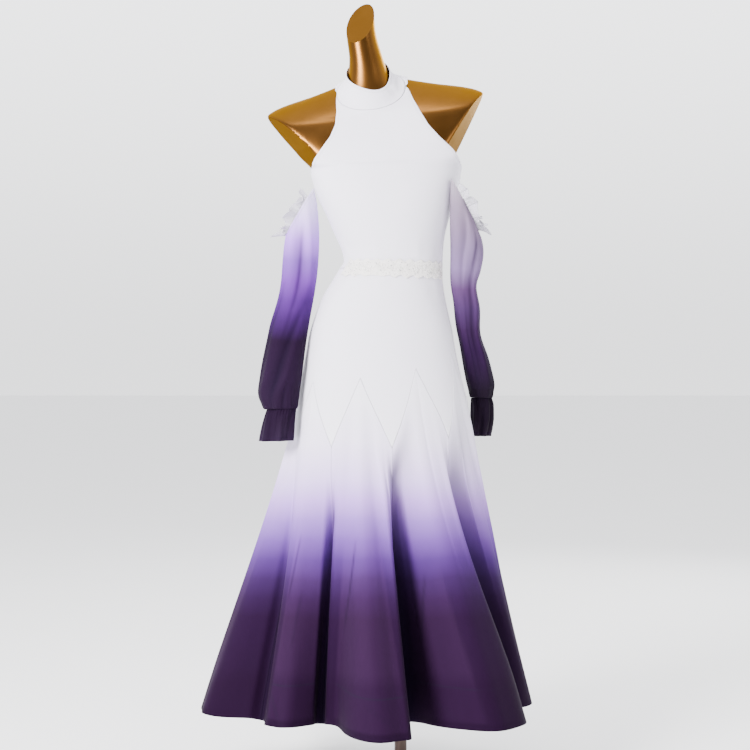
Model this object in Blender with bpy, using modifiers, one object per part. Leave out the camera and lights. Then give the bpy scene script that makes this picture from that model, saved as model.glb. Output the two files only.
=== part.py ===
"""A ballroom dance dress that rests on a limbless dress form with a pole and a round base.

Metres, +Z up. The dress faces -Y, and left and right are the wearer's own, so left is +X.
The origin is the centre of the base's underside.

Angles round the body are measured from the front, positive towards the wearer's left.
Heights along the body are given as stations: station 4.5 is halfway from row 4 to row 5 of FIGURE.
"""

import math
from collections import namedtuple

import bmesh
import bpy
from mathutils import Vector

COLLECTION = "ballroom_dance_dress"
SHARP_EDGE_ANGLE = 50
BISECTION_STEPS = 40

# Cloth walls
CLOTH = 0.0015
COLLAR_CLOTH = 0.0020
EASE = 0.0014
SEAM_GAP = 0.0003
ZIGZAG_GAP = 0.0006
CLOTH_MIDDLE = EASE + CLOTH / 2
CLOTH_OUTSIDE = EASE + CLOTH

# Body surface, bottom to top. Each row is a closed ring of points round (centre, 0).
# front and back are depths, rise_x and rise_y tilt the ring, square fills out its corners.
Section = namedtuple("Section", "z centre half_width front back rise_x rise_y square")
FIGURE = [
    Section(0.700, -0.0360, 0.1890, 0.137, 0.137, 0.000, 0.00, 0.00),
    Section(0.750, -0.0365, 0.1865, 0.125, 0.127, 0.000, 0.00, 0.01),
    Section(0.789, -0.0376, 0.1820, 0.117, 0.120, 0.000, 0.00, 0.02),
    Section(0.832, -0.0398, 0.1747, 0.112, 0.117, 0.000, 0.00, 0.02),
    Section(0.875, -0.0414, 0.1656, 0.108, 0.113, 0.000, 0.00, 0.03),
    Section(0.918, -0.0421, 0.1570, 0.107, 0.110, 0.000, 0.00, 0.03),
    Section(0.961, -0.0414, 0.1494, 0.104, 0.104, 0.000, 0.00, 0.03),
    Section(1.004, -0.0387, 0.1370, 0.098, 0.093, 0.000, 0.00, 0.03),
    Section(1.036, -0.0350, 0.1270, 0.093, 0.083, 0.000, 0.00, 0.03),
    Section(1.068, -0.0274, 0.1150, 0.088, 0.073, 0.000, 0.00, 0.03),
    Section(1.090, -0.0215, 0.1080, 0.085, 0.068, 0.000, 0.00, 0.03),
    Section(1.107, -0.0161, 0.1037, 0.085, 0.066, 0.000, 0.00, 0.03),
    Section(1.133, -0.0178, 0.1065, 0.093, 0.068, 0.000, 0.00, 0.03),
    Section(1.165, -0.0226, 0.1155, 0.105, 0.074, 0.000, 0.00, 0.05),
    Section(1.208, -0.0269, 0.1306, 0.117, 0.082, 0.000, 0.00, 0.07),
    Section(1.251, -0.0312, 0.1467, 0.119, 0.089, 0.000, 0.00, 0.08),
    Section(1.283, -0.0312, 0.1564, 0.110, 0.093, 0.000, 0.00, 0.06),
    Section(1.312, -0.0320, 0.1640, 0.102, 0.092, 0.030, 0.10, 0.05),
    Section(1.345, -0.0380, 0.1950, 0.093, 0.087, 0.060, 0.35, 0.05),
    Section(1.392, -0.0470, 0.2280, 0.083, 0.078, 0.100, 0.55, 0.06),
    Section(1.425, -0.0530, 0.2450, 0.070, 0.066, 0.105, 0.65, 0.07),
    Section(1.446, -0.0545, 0.2280, 0.061, 0.056, 0.105, 0.70, 0.07),
    Section(1.460, -0.0570, 0.1550, 0.058, 0.052, 0.105, 0.80, 0.05),
    Section(1.4755, -0.0630, 0.0730, 0.058, 0.052, 0.100, 0.90, 0.03),
    Section(1.495, -0.0670, 0.0520, 0.052, 0.048, 0.080, 0.85, 0.02),
    Section(1.515, -0.0707, 0.0440, 0.045, 0.045, 0.060, 0.80, 0.02),
    Section(1.550, -0.0753, 0.0376, 0.042, 0.042, 0.050, 0.60, 0.02),
    Section(1.600, -0.0850, 0.0340, 0.041, 0.041, 0.050, 0.40, 0.02),
    Section(1.660, -0.0885, 0.0335, 0.041, 0.041, 0.050, 0.30, 0.02),
    Section(1.720, -0.0905, 0.0330, 0.041, 0.041, 0.050, 0.30, 0.02),
]
HIP_STATION = 5
WAIST_SEAM = 10
NECK_SEAM = 23
COLLAR_TOP = 25
SHOULDER_START = 17
SHOULDER_STATIONS = [
    *(16.5, 16.68, 16.84, 17, 17.3, 17.6, 18, 18.4, 19, 20),
    *(20.6, 21.2, 21.7, 22, 22.35, 22.7, 22.88, 23),
]
NECK_STATIONS = [23.5, 24, 24.5, 25, 26, 27, 28, 29]

# Flat arm ends of the form: where the cut lies at each height, and how it turns with depth
ArmEnd = namedtuple("ArmEnd", "z right left")
ARM_ENDS = [
    ArmEnd(1.300, -0.1900, 0.1280),
    ArmEnd(1.3456, -0.2197, 0.1120),
    ArmEnd(1.419, -0.2810, 0.1500),
    ArmEnd(1.467, -0.3100, 0.1740),
    ArmEnd(1.560, -0.3500, 0.2300),
]
ARM_END_TURN = {"right": -0.39, "left": 0.23}

# Neck of the form, cut on a slant
NECK_CUT_POINT = Vector((-0.0978, -0.0400, 1.5650))
NECK_CUT_NORMAL = Vector((-0.392, -0.705, 0.591))

# Underside of the form: rings that close it in below the hips
FormBase = namedtuple("FormBase", "z scale")
FORM_BASE = [
    FormBase(0.797, 0.62),
    FormBase(0.803, 0.76),
    FormBase(0.820, 0.88),
    FormBase(0.845, 0.955),
    FormBase(0.880, 0.995),
]
FORM_COLUMNS = 28
FORM_INSET = 0.0024

# Stand: a pole with a flange under the form, on a domed base with a hub
POLE_RADIUS = 0.0132
FLANGE_RADIUS = 0.045
FLANGE_THICKNESS = 0.005
FLANGE_NECK = 0.010
BASE_RADIUS = 0.160
BASE_DOME = 0.012
HUB_RADIUS = 0.022
HUB_TOP = 0.032
HUB_BEVEL = 0.002
TURNED_STEPS = 40
TURNED_MERGE = 0.00001
RimPoint = namedtuple("RimPoint", "inset z")
BASE_RIM = [
    RimPoint(0.006, 0.006),
    RimPoint(0.001, 0.004),
    RimPoint(0.000, 0.002),
    RimPoint(0.000, 0.001),
    RimPoint(0.001, 0.000),
]

# Halter armholes, seen from the front: how far each side of the bodice reaches at a height
Armhole = namedtuple("Armhole", "z right left")
ARMHOLE = [
    Armhole(1.255, -0.215, 0.170),
    Armhole(1.280, -0.1930, 0.1370),
    Armhole(1.300, -0.1910, 0.1335),
    Armhole(1.320, -0.1810, 0.1225),
    Armhole(1.340, -0.1665, 0.1080),
    Armhole(1.365, -0.1490, 0.0800),
    Armhole(1.390, -0.1390, 0.0580),
    Armhole(1.420, -0.1360, 0.0405),
    Armhole(1.450, -0.1375, 0.0260),
    Armhole(1.480, -0.1400, 0.0150),
]
BODICE_COLUMNS = 16

# Collar: its top edge dips towards the front
COLLAR_DIP = 0.55
COLLAR_DIP_ANGLE = 35
COLLAR_DIP_WIDTH = 50
COLLAR_COLUMNS = 32
COLLAR_ROWS = 4
BUTTON_RADIUS = 0.006
BUTTON_THICKNESS = 0.004
BUTTON_TAPER = 0.72
BUTTON_SEGMENTS = 16
BUTTON_ANGLE = 172
BUTTON_STATIONS = [23.55, 24.45]

# Waist trim: a raised band with uneven edges over the front of the waist seam
TRIM_FROM = -58
TRIM_TO = 77
TRIM_TOP = 1.108
TRIM_BOTTOM = 1.073
TRIM_DROP = 0.006
TRIM_EDGE_WAVE = 0.0028
TRIM_EDGE_WAVES = 11
TRIM_EDGE_DRIFT = 5
TRIM_THICKNESS = 0.0016
TRIM_RELIEF = 0.0014
TRIM_LIFT = 0.0012
TRIM_COLUMNS = 36
TRIM_ROWS = 4

# Skirt: one row for each gore, from its seam on the wearer's right to the next row's seam.
# seam and top are angles on the hips, and the z after each is where the zigzag turns there.
# hem_seam is the seam's angle at the hem, hem_in and hem_out are radii in the valley and on
# the flute, peak places the flute's crest between the seams, hold keeps it to the hips.
Gore = namedtuple("Gore", "seam seam_z top_z hem_seam hem_in hem_out peak hold")
GORES = [
    Gore(-75, 0.722, 0.850, -54, 0.285, 0.300, 0.45, 1.0),
    Gore(-35, 0.714, 0.858, -24, 0.235, 0.352, 0.66, 1.0),
    Gore(5, 0.713, 0.878, 21, 0.225, 0.384, 0.60, 1.0),
    Gore(45, 0.733, 0.910, 72, 0.310, 0.352, 0.50, 1.5),
    Gore(85, 0.745, 0.900, 108, 0.280, 0.348, 0.50, 1.4),
    Gore(125, 0.740, 0.885, 142, 0.255, 0.350, 0.50, 1.1),
    Gore(165, 0.725, 0.870, 177, 0.250, 0.345, 0.50, 1.0),
    Gore(205, 0.715, 0.862, 212, 0.250, 0.350, 0.50, 1.0),
    Gore(245, 0.715, 0.855, 250, 0.275, 0.356, 0.62, 0.8),
]
GORE_SPAN = 40
GORE_COLUMNS = 8
GORE_ROWS = 8
FLUTE_BREADTH = 4
HEM_CENTRE = -0.072
HEM_Z = 0.1625
YOKE_STEP = 5
YOKE_ROWS = 6
YOKE_RIGHT_SIDE = -95
YOKE_LEFT_SIDE = 85
YOKE_CENTRE_BACK = 175

# Sleeves: rings from the open top down to the elastic wrist.
# Each ring runs from a point near the body to a point away from it, with its half depth.
Ring = namedtuple("Ring", "x_in y_in z_in x_out y_out z_out depth")
SLEEVE_RIGHT = [
    Ring(-0.1866, -0.006, 1.2655, -0.2460, -0.012, 1.1620, 0.026),
    Ring(-0.1790, -0.008, 1.2280, -0.2490, -0.014, 1.1400, 0.030),
    Ring(-0.1755, -0.012, 1.1750, -0.2520, -0.017, 1.1060, 0.032),
    Ring(-0.1765, -0.016, 1.1060, -0.2560, -0.021, 1.0610, 0.032),
    Ring(-0.1830, -0.022, 1.0410, -0.2640, -0.026, 1.0200, 0.033),
    Ring(-0.1935, -0.030, 0.9850, -0.2790, -0.030, 0.9660, 0.035),
    Ring(-0.2025, -0.040, 0.9280, -0.2910, -0.031, 0.9130, 0.038),
    Ring(-0.2085, -0.050, 0.8750, -0.3000, -0.036, 0.8580, 0.040),
    Ring(-0.2140, -0.055, 0.8360, -0.3030, -0.036, 0.8260, 0.040),
    Ring(-0.2170, -0.060, 0.8110, -0.2950, -0.040, 0.8050, 0.033),
    Ring(-0.2220, -0.063, 0.7950, -0.2820, -0.044, 0.7950, 0.022),
]
SLEEVE_LEFT = [
    Ring(0.1050, -0.086, 1.2755, 0.1630, -0.034, 1.1720, 0.026),
    Ring(0.1040, -0.080, 1.2340, 0.1720, -0.028, 1.1510, 0.030),
    Ring(0.1045, -0.058, 1.1830, 0.1755, -0.022, 1.1220, 0.032),
    Ring(0.1065, -0.022, 1.1310, 0.1705, -0.012, 1.0850, 0.032),
    Ring(0.1080, -0.012, 1.0610, 0.1630, -0.005, 1.0530, 0.030),
    Ring(0.1140, 0.000, 1.0140, 0.1710, 0.000, 1.0080, 0.032),
    Ring(0.1220, 0.012, 0.9590, 0.1720, 0.010, 0.9550, 0.033),
    Ring(0.1320, 0.028, 0.9075, 0.1890, 0.020, 0.9030, 0.035),
    Ring(0.1420, 0.044, 0.8580, 0.2040, 0.030, 0.8510, 0.036),
    Ring(0.1490, 0.052, 0.8340, 0.2040, 0.040, 0.8300, 0.032),
    Ring(0.1560, 0.056, 0.8160, 0.1980, 0.045, 0.8160, 0.022),
]
CUFF_RIGHT = [
    Ring(-0.2220, -0.063, 0.7935, -0.2820, -0.044, 0.7935, 0.022),
    Ring(-0.2225, -0.063, 0.7800, -0.2885, -0.044, 0.7780, 0.027),
    Ring(-0.2235, -0.064, 0.7530, -0.2960, -0.046, 0.7490, 0.030),
    Ring(-0.2255, -0.065, 0.7260, -0.3005, -0.047, 0.7240, 0.031),
]
CUFF_LEFT = [
    Ring(0.1560, 0.056, 0.8145, 0.1980, 0.045, 0.8145, 0.022),
    Ring(0.1545, 0.057, 0.8000, 0.2035, 0.045, 0.7980, 0.026),
    Ring(0.1545, 0.059, 0.7670, 0.2040, 0.046, 0.7650, 0.028),
    Ring(0.1570, 0.060, 0.7310, 0.1975, 0.047, 0.7310, 0.028),
]
SLEEVE_COLUMNS = 24

# Long folds pressed into the sleeves: angle round the sleeve at its two ends, in degrees from
# the outer edge towards the front, the rings that it runs between, and its depth and width
Fold = namedtuple("Fold", "angle_top angle_end ring_top ring_end depth width")
SLEEVE_RIGHT_FOLDS = [
    Fold(150, 60, 3.6, 8.6, 0.0070, 24),
    Fold(70, 100, 0.0, 4.5, 0.0050, 20),
    Fold(250, 300, 1.0, 9.0, 0.0060, 26),
]
SLEEVE_LEFT_FOLDS = [
    Fold(120, 100, 0.0, 5.0, 0.0060, 20),
    Fold(60, 75, 1.2, 9.0, 0.0050, 20),
    Fold(290, 250, 1.0, 8.5, 0.0060, 26),
]
FOLD_FULLNESS = 0.7

# Gathers at the ends of each sleeve, and how fast they fade from ring to ring
TOP_GATHERS = 6
TOP_GATHER_DEPTH = 0.0022
TOP_GATHER_FADE = 1.0
WRIST_GATHERS = 8
WRIST_GATHER_DEPTH = 0.0016
WRIST_GATHER_FADE = 0.8
CUFF_FLUTES = 6
CUFF_FLUTE_DEPTH = 0.0042
CUFF_FLUTE_TURN = 0.6

# Frill round each sleeve's open top
FRILL_COLUMNS = 40
FRILL_ROWS = 2
FRILL_TURNS = {"left": (-95, 135), "right": (-128, 128)}
FRILL_WAVES = 11
FRILL_HEIGHT = 0.021
FRILL_SPREAD = 0.55
FRILL_WAVE_DEPTH = 0.0060
FRILL_SLOW_WAVE = 0.35
FRILL_SLOW_RATE = 0.5
FRILL_HEIGHT_WAVE = 0.25
FRILL_HEIGHT_RATE = 0.31
FRILL_LIFT = 0.0014

# Colours, each with its roughness and how metallic it is
GOLD = ((0.62, 0.36, 0.12), 0.25, 1.0)
POLE_METAL = ((0.20, 0.15, 0.13), 0.40, 1.0)
WHITE_CREPE = ((0.80, 0.79, 0.83), 0.75, 0.0)
LILAC_CREPE = ((0.47, 0.36, 0.66), 0.75, 0.0)
WHITE_FRILL = ((0.78, 0.77, 0.80), 0.80, 0.0)
AUBERGINE = ((0.06, 0.03, 0.08), 0.80, 0.0)
TRIM_WHITE = ((0.82, 0.80, 0.76), 0.40, 0.0)


def catmull_rom(before, start, end, after, t):
    """Value at t on the smooth curve from start to end."""
    slope_start = (end - before) / 2
    slope_end = (after - start) / 2
    return (
        (2 * t**3 - 3 * t**2 + 1) * start
        + (t**3 - 2 * t**2 + t) * slope_start
        + (3 * t**2 - 2 * t**3) * end
        + (t**3 - t**2) * slope_end
    )


def row_at(table, station):
    """Row of a table at any station, all columns interpolated smoothly."""
    last = len(table) - 1
    station = min(max(station, 0.0), float(last))
    low = min(int(station), last - 1)
    rows = [table[min(max(low + step, 0), last)] for step in (-1, 0, 1, 2)]
    values = [catmull_rom(*column, station - low) for column in zip(*rows)]
    return type(table[0])(*values)


def column_at(table, z, column):
    """Straight interpolation of one column of a table whose rows rise in z."""
    if z <= table[0].z:
        return getattr(table[0], column)
    for low, high in zip(table, table[1:]):
        if z <= high.z:
            share = (z - low.z) / (high.z - low.z)
            return getattr(low, column) * (1 - share) + getattr(high, column) * share
    return getattr(table[-1], column)


def station_at(z):
    """Station whose ring lies at a height, on the level rings below the shoulders."""
    low, high = 0.0, float(NECK_SEAM)
    for _ in range(BISECTION_STEPS):
        middle = (low + high) / 2
        if row_at(FIGURE, middle).z < z:
            low = middle
        else:
            high = middle
    return low


def body_point(station, angle):
    """Point of the body surface at a station and an angle in degrees, its arms not cut."""
    row = row_at(FIGURE, station)
    turn = math.radians(angle)
    fullness = 1 + row.square * math.sin(2 * turn) ** 2
    depth = row.front if math.cos(turn) > 0 else row.back
    side = row.half_width * math.sin(turn) * fullness
    y = -depth * math.cos(turn) * fullness
    z = row.z + row.rise_x * side + row.rise_y * y
    return Vector((row.centre + side, y, z))


def cut_arms(point):
    """Moves a point of the form that lies past an arm end onto that end's flat face."""
    if point.z > ARM_ENDS[0].z:
        right_end = column_at(ARM_ENDS, point.z, "right") + ARM_END_TURN["right"] * point.y
        left_end = column_at(ARM_ENDS, point.z, "left") + ARM_END_TURN["left"] * point.y
        point.x = min(max(point.x, right_end), left_end)
    return point


def body_frame(station, angle):
    """Unit vectors at a point of the body: outwards, and up along the body."""
    step = 0.02
    around = body_point(station, angle + 1) - body_point(station, angle - 1)
    upwards = body_point(station + step, angle) - body_point(station - step, angle)
    return around.cross(upwards).normalized(), upwards.normalized()


def over_body(station, angle, distance):
    """Point at a distance outside the body surface."""
    return body_point(station, angle) + body_frame(station, angle)[0] * distance


def make_object(name, bm, material):
    """Puts a bmesh into the dress's collection as a named object."""
    bmesh.ops.recalc_face_normals(bm, faces=bm.faces[:])
    mesh = bpy.data.meshes.new(name)
    bm.to_mesh(mesh)
    bm.free()
    mesh.materials.append(material)
    mesh.shade_smooth()
    mesh.set_sharp_from_angle(angle=math.radians(SHARP_EDGE_ANGLE))
    obj = bpy.data.objects.new(name, mesh)
    bpy.data.collections[COLLECTION].objects.link(obj)
    return obj


def make_material(name, look):
    """Principled material with a colour, a roughness and a metallic value."""
    color, roughness, metallic = look
    material = bpy.data.materials.new(name)
    material.use_nodes = True
    shader = material.node_tree.nodes["Principled BSDF"]
    shader.inputs["Base Color"].default_value = (*color, 1)
    shader.inputs["Roughness"].default_value = roughness
    shader.inputs["Metallic"].default_value = metallic
    return material


def add_face(bm, *corners):
    """Splits four corners into two triangles along the same diagonal each time."""
    a, b, c, d = corners
    bm.faces.new((a, b, c))
    bm.faces.new((a, c, d))


def pull_line(edge, inner, distance, closed, square_ends):
    """Moves a border line towards the next line of its grid, square to its own run."""
    last = len(edge) - 1
    moved = []
    for i, (point, neighbour) in enumerate(zip(edge, inner)):
        inwards = neighbour - point
        if closed or square_ends or 0 < i < last:
            before = edge[i - 1] if i > 0 or closed else point
            after = edge[(i + 1) % len(edge)] if i < last or closed else point
            along = after - before
            inwards -= along * (inwards.dot(along) / along.dot(along))
        moved.append(point + inwards.normalized() * distance)
    return moved


def pull_edges(points, sides, ends, closed):
    """Moves a grid's two sides and its first and last rows inwards by half of a gap."""
    moved = [row[:] for row in points]
    moved[0] = pull_line(points[0], points[1], ends[0], closed, False)
    moved[-1] = pull_line(points[-1], points[-2], ends[1], closed, False)
    if not closed:
        columns = list(zip(*moved))
        first = pull_line(columns[0], columns[1], sides, False, True)
        final = pull_line(columns[-1], columns[-2], sides, False, True)
        for row, start, end in zip(moved, first, final):
            row[0], row[-1] = start, end
    return moved


def cloth_wall(name, points, normals, outside, inside, material, closed=False):
    """Closed solid between two offsets of a grid of points, with rims round its edges."""
    bm = bmesh.new()
    outer, inner = [], []
    for row, row_normals in zip(points, normals):
        outer.append([])
        inner.append([])
        for column, (point, normal) in enumerate(zip(row, row_normals)):
            reach = outside(len(outer) - 1, column) if callable(outside) else outside
            outer[-1].append(bm.verts.new(point + normal * reach))
            inner[-1].append(bm.verts.new(point + normal * inside))
    rows, columns = len(points), len(points[0])
    for r in range(rows - 1):
        for c in range(columns if closed else columns - 1):
            n = (c + 1) % columns
            add_face(bm, outer[r][c], outer[r][n], outer[r + 1][n], outer[r + 1][c])
            add_face(bm, inner[r][c], inner[r][n], inner[r + 1][n], inner[r + 1][c])
    for c in range(columns if closed else columns - 1):
        n = (c + 1) % columns
        add_face(bm, outer[0][c], outer[0][n], inner[0][n], inner[0][c])
        add_face(bm, outer[-1][c], outer[-1][n], inner[-1][n], inner[-1][c])
    if not closed:
        for r in range(rows - 1):
            add_face(bm, outer[r][0], outer[r + 1][0], inner[r + 1][0], inner[r][0])
            add_face(bm, outer[r][-1], outer[r + 1][-1], inner[r + 1][-1], inner[r][-1])
    return make_object(name, bm, material)


def body_panel(name, grid, material, ends=(SEAM_GAP / 2, SEAM_GAP / 2), cloth=CLOTH):
    """Cloth piece that lies on the body, from a grid of (station, angle) pairs."""
    normals = [[body_frame(*place)[0] for place in row] for row in grid]
    points = [[body_point(*place) for place in row] for row in grid]
    points = pull_edges(points, SEAM_GAP / 2, ends, closed=False)
    return cloth_wall(name, points, normals, EASE + cloth, EASE, material)


def loft(bm, rings):
    """Closed skin through rings of equal counts, with a flat face on the first and last."""
    made = [[bm.verts.new(point) for point in ring] for ring in rings]
    count = len(rings[0])
    for low, high in zip(made, made[1:]):
        for c in range(count):
            n = (c + 1) % count
            add_face(bm, low[c], low[n], high[n], high[c])
    bm.faces.new(made[0][::-1])
    bm.faces.new(made[-1])


def make_dress_form(material):
    """Smooth torso with flat arm ends, a rounded underside and a neck cut on a slant."""
    angles = [360 * c / FORM_COLUMNS for c in range(FORM_COLUMNS)]
    hip = row_at(FIGURE, HIP_STATION)
    rings = []
    for base in FORM_BASE:
        ring = []
        for angle in angles:
            point = over_body(HIP_STATION, angle, -FORM_INSET)
            x = hip.centre + (point.x - hip.centre) * base.scale
            ring.append(Vector((x, point.y * base.scale, base.z)))
        rings.append(ring)
    stations = list(range(HIP_STATION, SHOULDER_START)) + SHOULDER_STATIONS
    stations += NECK_STATIONS
    for station in stations:
        rings.append([cut_arms(over_body(station, angle, -FORM_INSET)) for angle in angles])
    bm = bmesh.new()
    loft(bm, rings)
    cut = bmesh.ops.bisect_plane(
        bm,
        geom=bm.verts[:] + bm.edges[:] + bm.faces[:],
        plane_co=NECK_CUT_POINT,
        plane_no=NECK_CUT_NORMAL,
        clear_outer=True,
    )
    rim = [item for item in cut["geom_cut"] if isinstance(item, bmesh.types.BMEdge)]
    bmesh.ops.contextual_create(bm, geom=rim)
    return make_object("dress_form", bm, material)


def make_turned(name, profile, material):
    """Solid turned round the pole's axis from (radius, height) points, top to bottom."""
    mesh = bpy.data.meshes.new(name)
    edges = [(i, i + 1) for i in range(len(profile) - 1)]
    mesh.from_pydata([(radius, 0, z) for radius, z in profile], edges, [])
    mesh.materials.append(material)
    obj = bpy.data.objects.new(name, mesh)
    bpy.data.collections[COLLECTION].objects.link(obj)
    screw = obj.modifiers.new("Turn", "SCREW")
    screw.steps = TURNED_STEPS
    screw.render_steps = TURNED_STEPS
    screw.use_merge_vertices = True
    screw.merge_threshold = TURNED_MERGE
    return obj


def make_stand(material):
    """Pole with a flange under the form, on a round base with a hub."""
    pole_top = FORM_BASE[0].z - SEAM_GAP
    pole_foot = HUB_TOP + SEAM_GAP
    pole = [
        (0, pole_top),
        (FLANGE_RADIUS, pole_top),
        (FLANGE_RADIUS, pole_top - FLANGE_THICKNESS),
        (POLE_RADIUS + FLANGE_THICKNESS, pole_top - FLANGE_THICKNESS),
        (POLE_RADIUS, pole_top - FLANGE_THICKNESS - FLANGE_NECK),
        (POLE_RADIUS, pole_foot),
        (0, pole_foot),
    ]
    base = [
        (0, HUB_TOP),
        (HUB_RADIUS - HUB_BEVEL, HUB_TOP),
        (HUB_RADIUS, HUB_TOP - HUB_BEVEL),
        (HUB_RADIUS, BASE_DOME),
        *[(BASE_RADIUS - point.inset, point.z) for point in BASE_RIM],
        (0, 0),
    ]
    make_turned("stand_pole", pole, material)
    make_turned("stand_base", base, material)


def armhole_angle(station, side, back):
    """Angle at which a bodice panel ends: the side seam, or the armhole's edge above it."""
    column = "left" if side > 0 else "right"

    def beyond(angle):
        point = body_point(station, angle)
        return side * (point.x - column_at(ARMHOLE, point.z, column)) > 0

    outer = 90 * side
    if not beyond(outer):
        return outer
    inner = 180 * side if back else 0
    for _ in range(BISECTION_STEPS):
        middle = (outer + inner) / 2
        if beyond(middle):
            outer = middle
        else:
            inner = middle
    return outer


def make_bodice(material):
    """Halter front and two backs, from the waist seam to the neck seam."""
    stations = list(range(WAIST_SEAM, SHOULDER_START)) + SHOULDER_STATIONS
    half = BODICE_COLUMNS // 2
    grids = {"bodice_front": [], "bodice_back_left": [], "bodice_back_right": []}
    for station in stations:
        front = [armhole_angle(station, side, back=False) for side in (-1, 1)]
        grids["bodice_front"].append(spread(station, front[0], front[1], BODICE_COLUMNS))
        left = armhole_angle(station, 1, back=True)
        grids["bodice_back_left"].append(spread(station, left, 180, half))
        right = armhole_angle(station, -1, back=True)
        grids["bodice_back_right"].append(spread(station, -180, right, half))
    for name, grid in grids.items():
        body_panel(name, grid, material)


def spread(station, start, end, columns):
    """One row of (station, angle) pairs from one angle to another."""
    return [(station, start + (end - start) * c / columns) for c in range(columns + 1)]


def collar_top(angle):
    """Station of the collar's top edge."""
    away = (angle - COLLAR_DIP_ANGLE) / COLLAR_DIP_WIDTH
    return COLLAR_TOP - COLLAR_DIP * math.exp(-(away**2))


def make_collar(material, button_material):
    """Standing collar open at the centre back, with two covered buttons beside the opening."""
    grid = []
    for r in range(COLLAR_ROWS + 1):
        row = []
        for c in range(COLLAR_COLUMNS + 1):
            angle = -180 + 360 * c / COLLAR_COLUMNS
            rise = (collar_top(angle) - NECK_SEAM) * r / COLLAR_ROWS
            row.append((NECK_SEAM + rise, angle))
        grid.append(row)
    body_panel("collar", grid, material, ends=(SEAM_GAP, 0), cloth=COLLAR_CLOTH)
    for number, station in enumerate(BUTTON_STATIONS, 1):
        make_button(f"collar_button_{number}", station, button_material)


def make_button(name, station, material):
    """Round covered button that lies on the back of the collar."""
    outwards, _ = body_frame(station, BUTTON_ANGLE)
    reach = EASE + COLLAR_CLOTH + SEAM_GAP + BUTTON_THICKNESS / 2
    bm = bmesh.new()
    bmesh.ops.create_cone(
        bm,
        cap_ends=True,
        segments=BUTTON_SEGMENTS,
        radius1=BUTTON_RADIUS,
        radius2=BUTTON_RADIUS * BUTTON_TAPER,
        depth=BUTTON_THICKNESS,
    )
    bm.transform(outwards.to_track_quat("Z", "Y").to_matrix().to_4x4())
    bmesh.ops.translate(bm, verts=bm.verts[:], vec=over_body(station, BUTTON_ANGLE, reach))
    make_object(name, bm, material)


def make_waist_trim(material):
    """Raised band over the waist seam, its outer side knobbed by stones and leaves."""
    points, normals = [], []
    for r in range(TRIM_ROWS + 1):
        points.append([])
        normals.append([])
        for c in range(TRIM_COLUMNS + 1):
            share = c / TRIM_COLUMNS
            angle = TRIM_FROM + (TRIM_TO - TRIM_FROM) * share
            wave = math.sin(2 * math.pi * TRIM_EDGE_WAVES * share)
            drop = TRIM_DROP * share
            top = TRIM_TOP - drop + TRIM_EDGE_WAVE * wave
            bottom = TRIM_BOTTOM - drop + TRIM_EDGE_WAVE * math.cos(TRIM_EDGE_DRIFT * share) * wave
            station = station_at(bottom + (top - bottom) * r / TRIM_ROWS)
            normals[-1].append(body_frame(station, angle)[0])
            points[-1].append(over_body(station, angle, CLOTH_OUTSIDE + TRIM_LIFT))

    def relief(row, column):
        edge = row in (0, TRIM_ROWS) or column in (0, TRIM_COLUMNS)
        knob = 0 if edge else TRIM_RELIEF * ((row + column) % 2)
        return TRIM_THICKNESS + knob

    cloth_wall("waist_trim", points, normals, relief, 0, material)


def zigzag_z(angle):
    """Height of the yoke's lower edge at an angle: down at each seam, up between seams."""
    turn = (angle - GORES[0].seam) % 360
    number = int(turn // GORE_SPAN)
    share = (turn - number * GORE_SPAN) / GORE_SPAN
    gore = GORES[number]
    following = GORES[(number + 1) % len(GORES)]
    if share < 0.5:
        return gore.seam_z + (gore.top_z - gore.seam_z) * share * 2
    return gore.top_z + (following.seam_z - gore.top_z) * (share * 2 - 1)


def make_yoke(material):
    """Hip yoke in three panels, from the zigzag edge up to the waist seam."""
    panels = [
        ("yoke_front", YOKE_RIGHT_SIDE, YOKE_LEFT_SIDE),
        ("yoke_back_left", YOKE_LEFT_SIDE, YOKE_CENTRE_BACK),
        ("yoke_back_right", YOKE_CENTRE_BACK, YOKE_RIGHT_SIDE + 360),
    ]
    for name, start, end in panels:
        grid = []
        for r in range(YOKE_ROWS + 1):
            row = []
            for angle in range(start, end + 1, YOKE_STEP):
                low = station_at(zigzag_z(angle))
                row.append((low + (WAIST_SEAM - low) * r / YOKE_ROWS, angle))
            grid.append(row)
        body_panel(name, grid, material, ends=(ZIGZAG_GAP / 2, SEAM_GAP / 2))


def hem_point(number, share):
    """Point of the hem at a share of the way across a gore."""
    gore = GORES[number]
    following = GORES[(number + 1) % len(GORES)]
    hem_end = following.hem_seam
    if hem_end < gore.hem_seam:
        hem_end += 360
    angle = math.radians(gore.hem_seam + (hem_end - gore.hem_seam) * share)
    valley = gore.hem_in + (following.hem_in - gore.hem_in) * share
    crest = share ** (math.log(0.5) / math.log(gore.peak))
    swell = 1 - abs(math.cos(math.pi * crest)) ** FLUTE_BREADTH
    radius = valley + (gore.hem_out - valley) * swell
    return Vector((HEM_CENTRE + radius * math.sin(angle), -radius * math.cos(angle), HEM_Z))


def gore_column(number, share):
    """Curve of the skirt from the zigzag edge to the hem: its start, end and start slope."""
    gore = GORES[number]
    following = GORES[(number + 1) % len(GORES)]
    angle = gore.seam + GORE_SPAN * share
    station = station_at(zigzag_z(angle))
    start = over_body(station, angle, CLOTH_MIDDLE)
    end = hem_point(number, share)
    hold = gore.hold + (following.hold - gore.hold) * share
    slope = body_frame(station, angle)[1] * -(end - start).length * hold
    return start, end, slope


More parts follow.
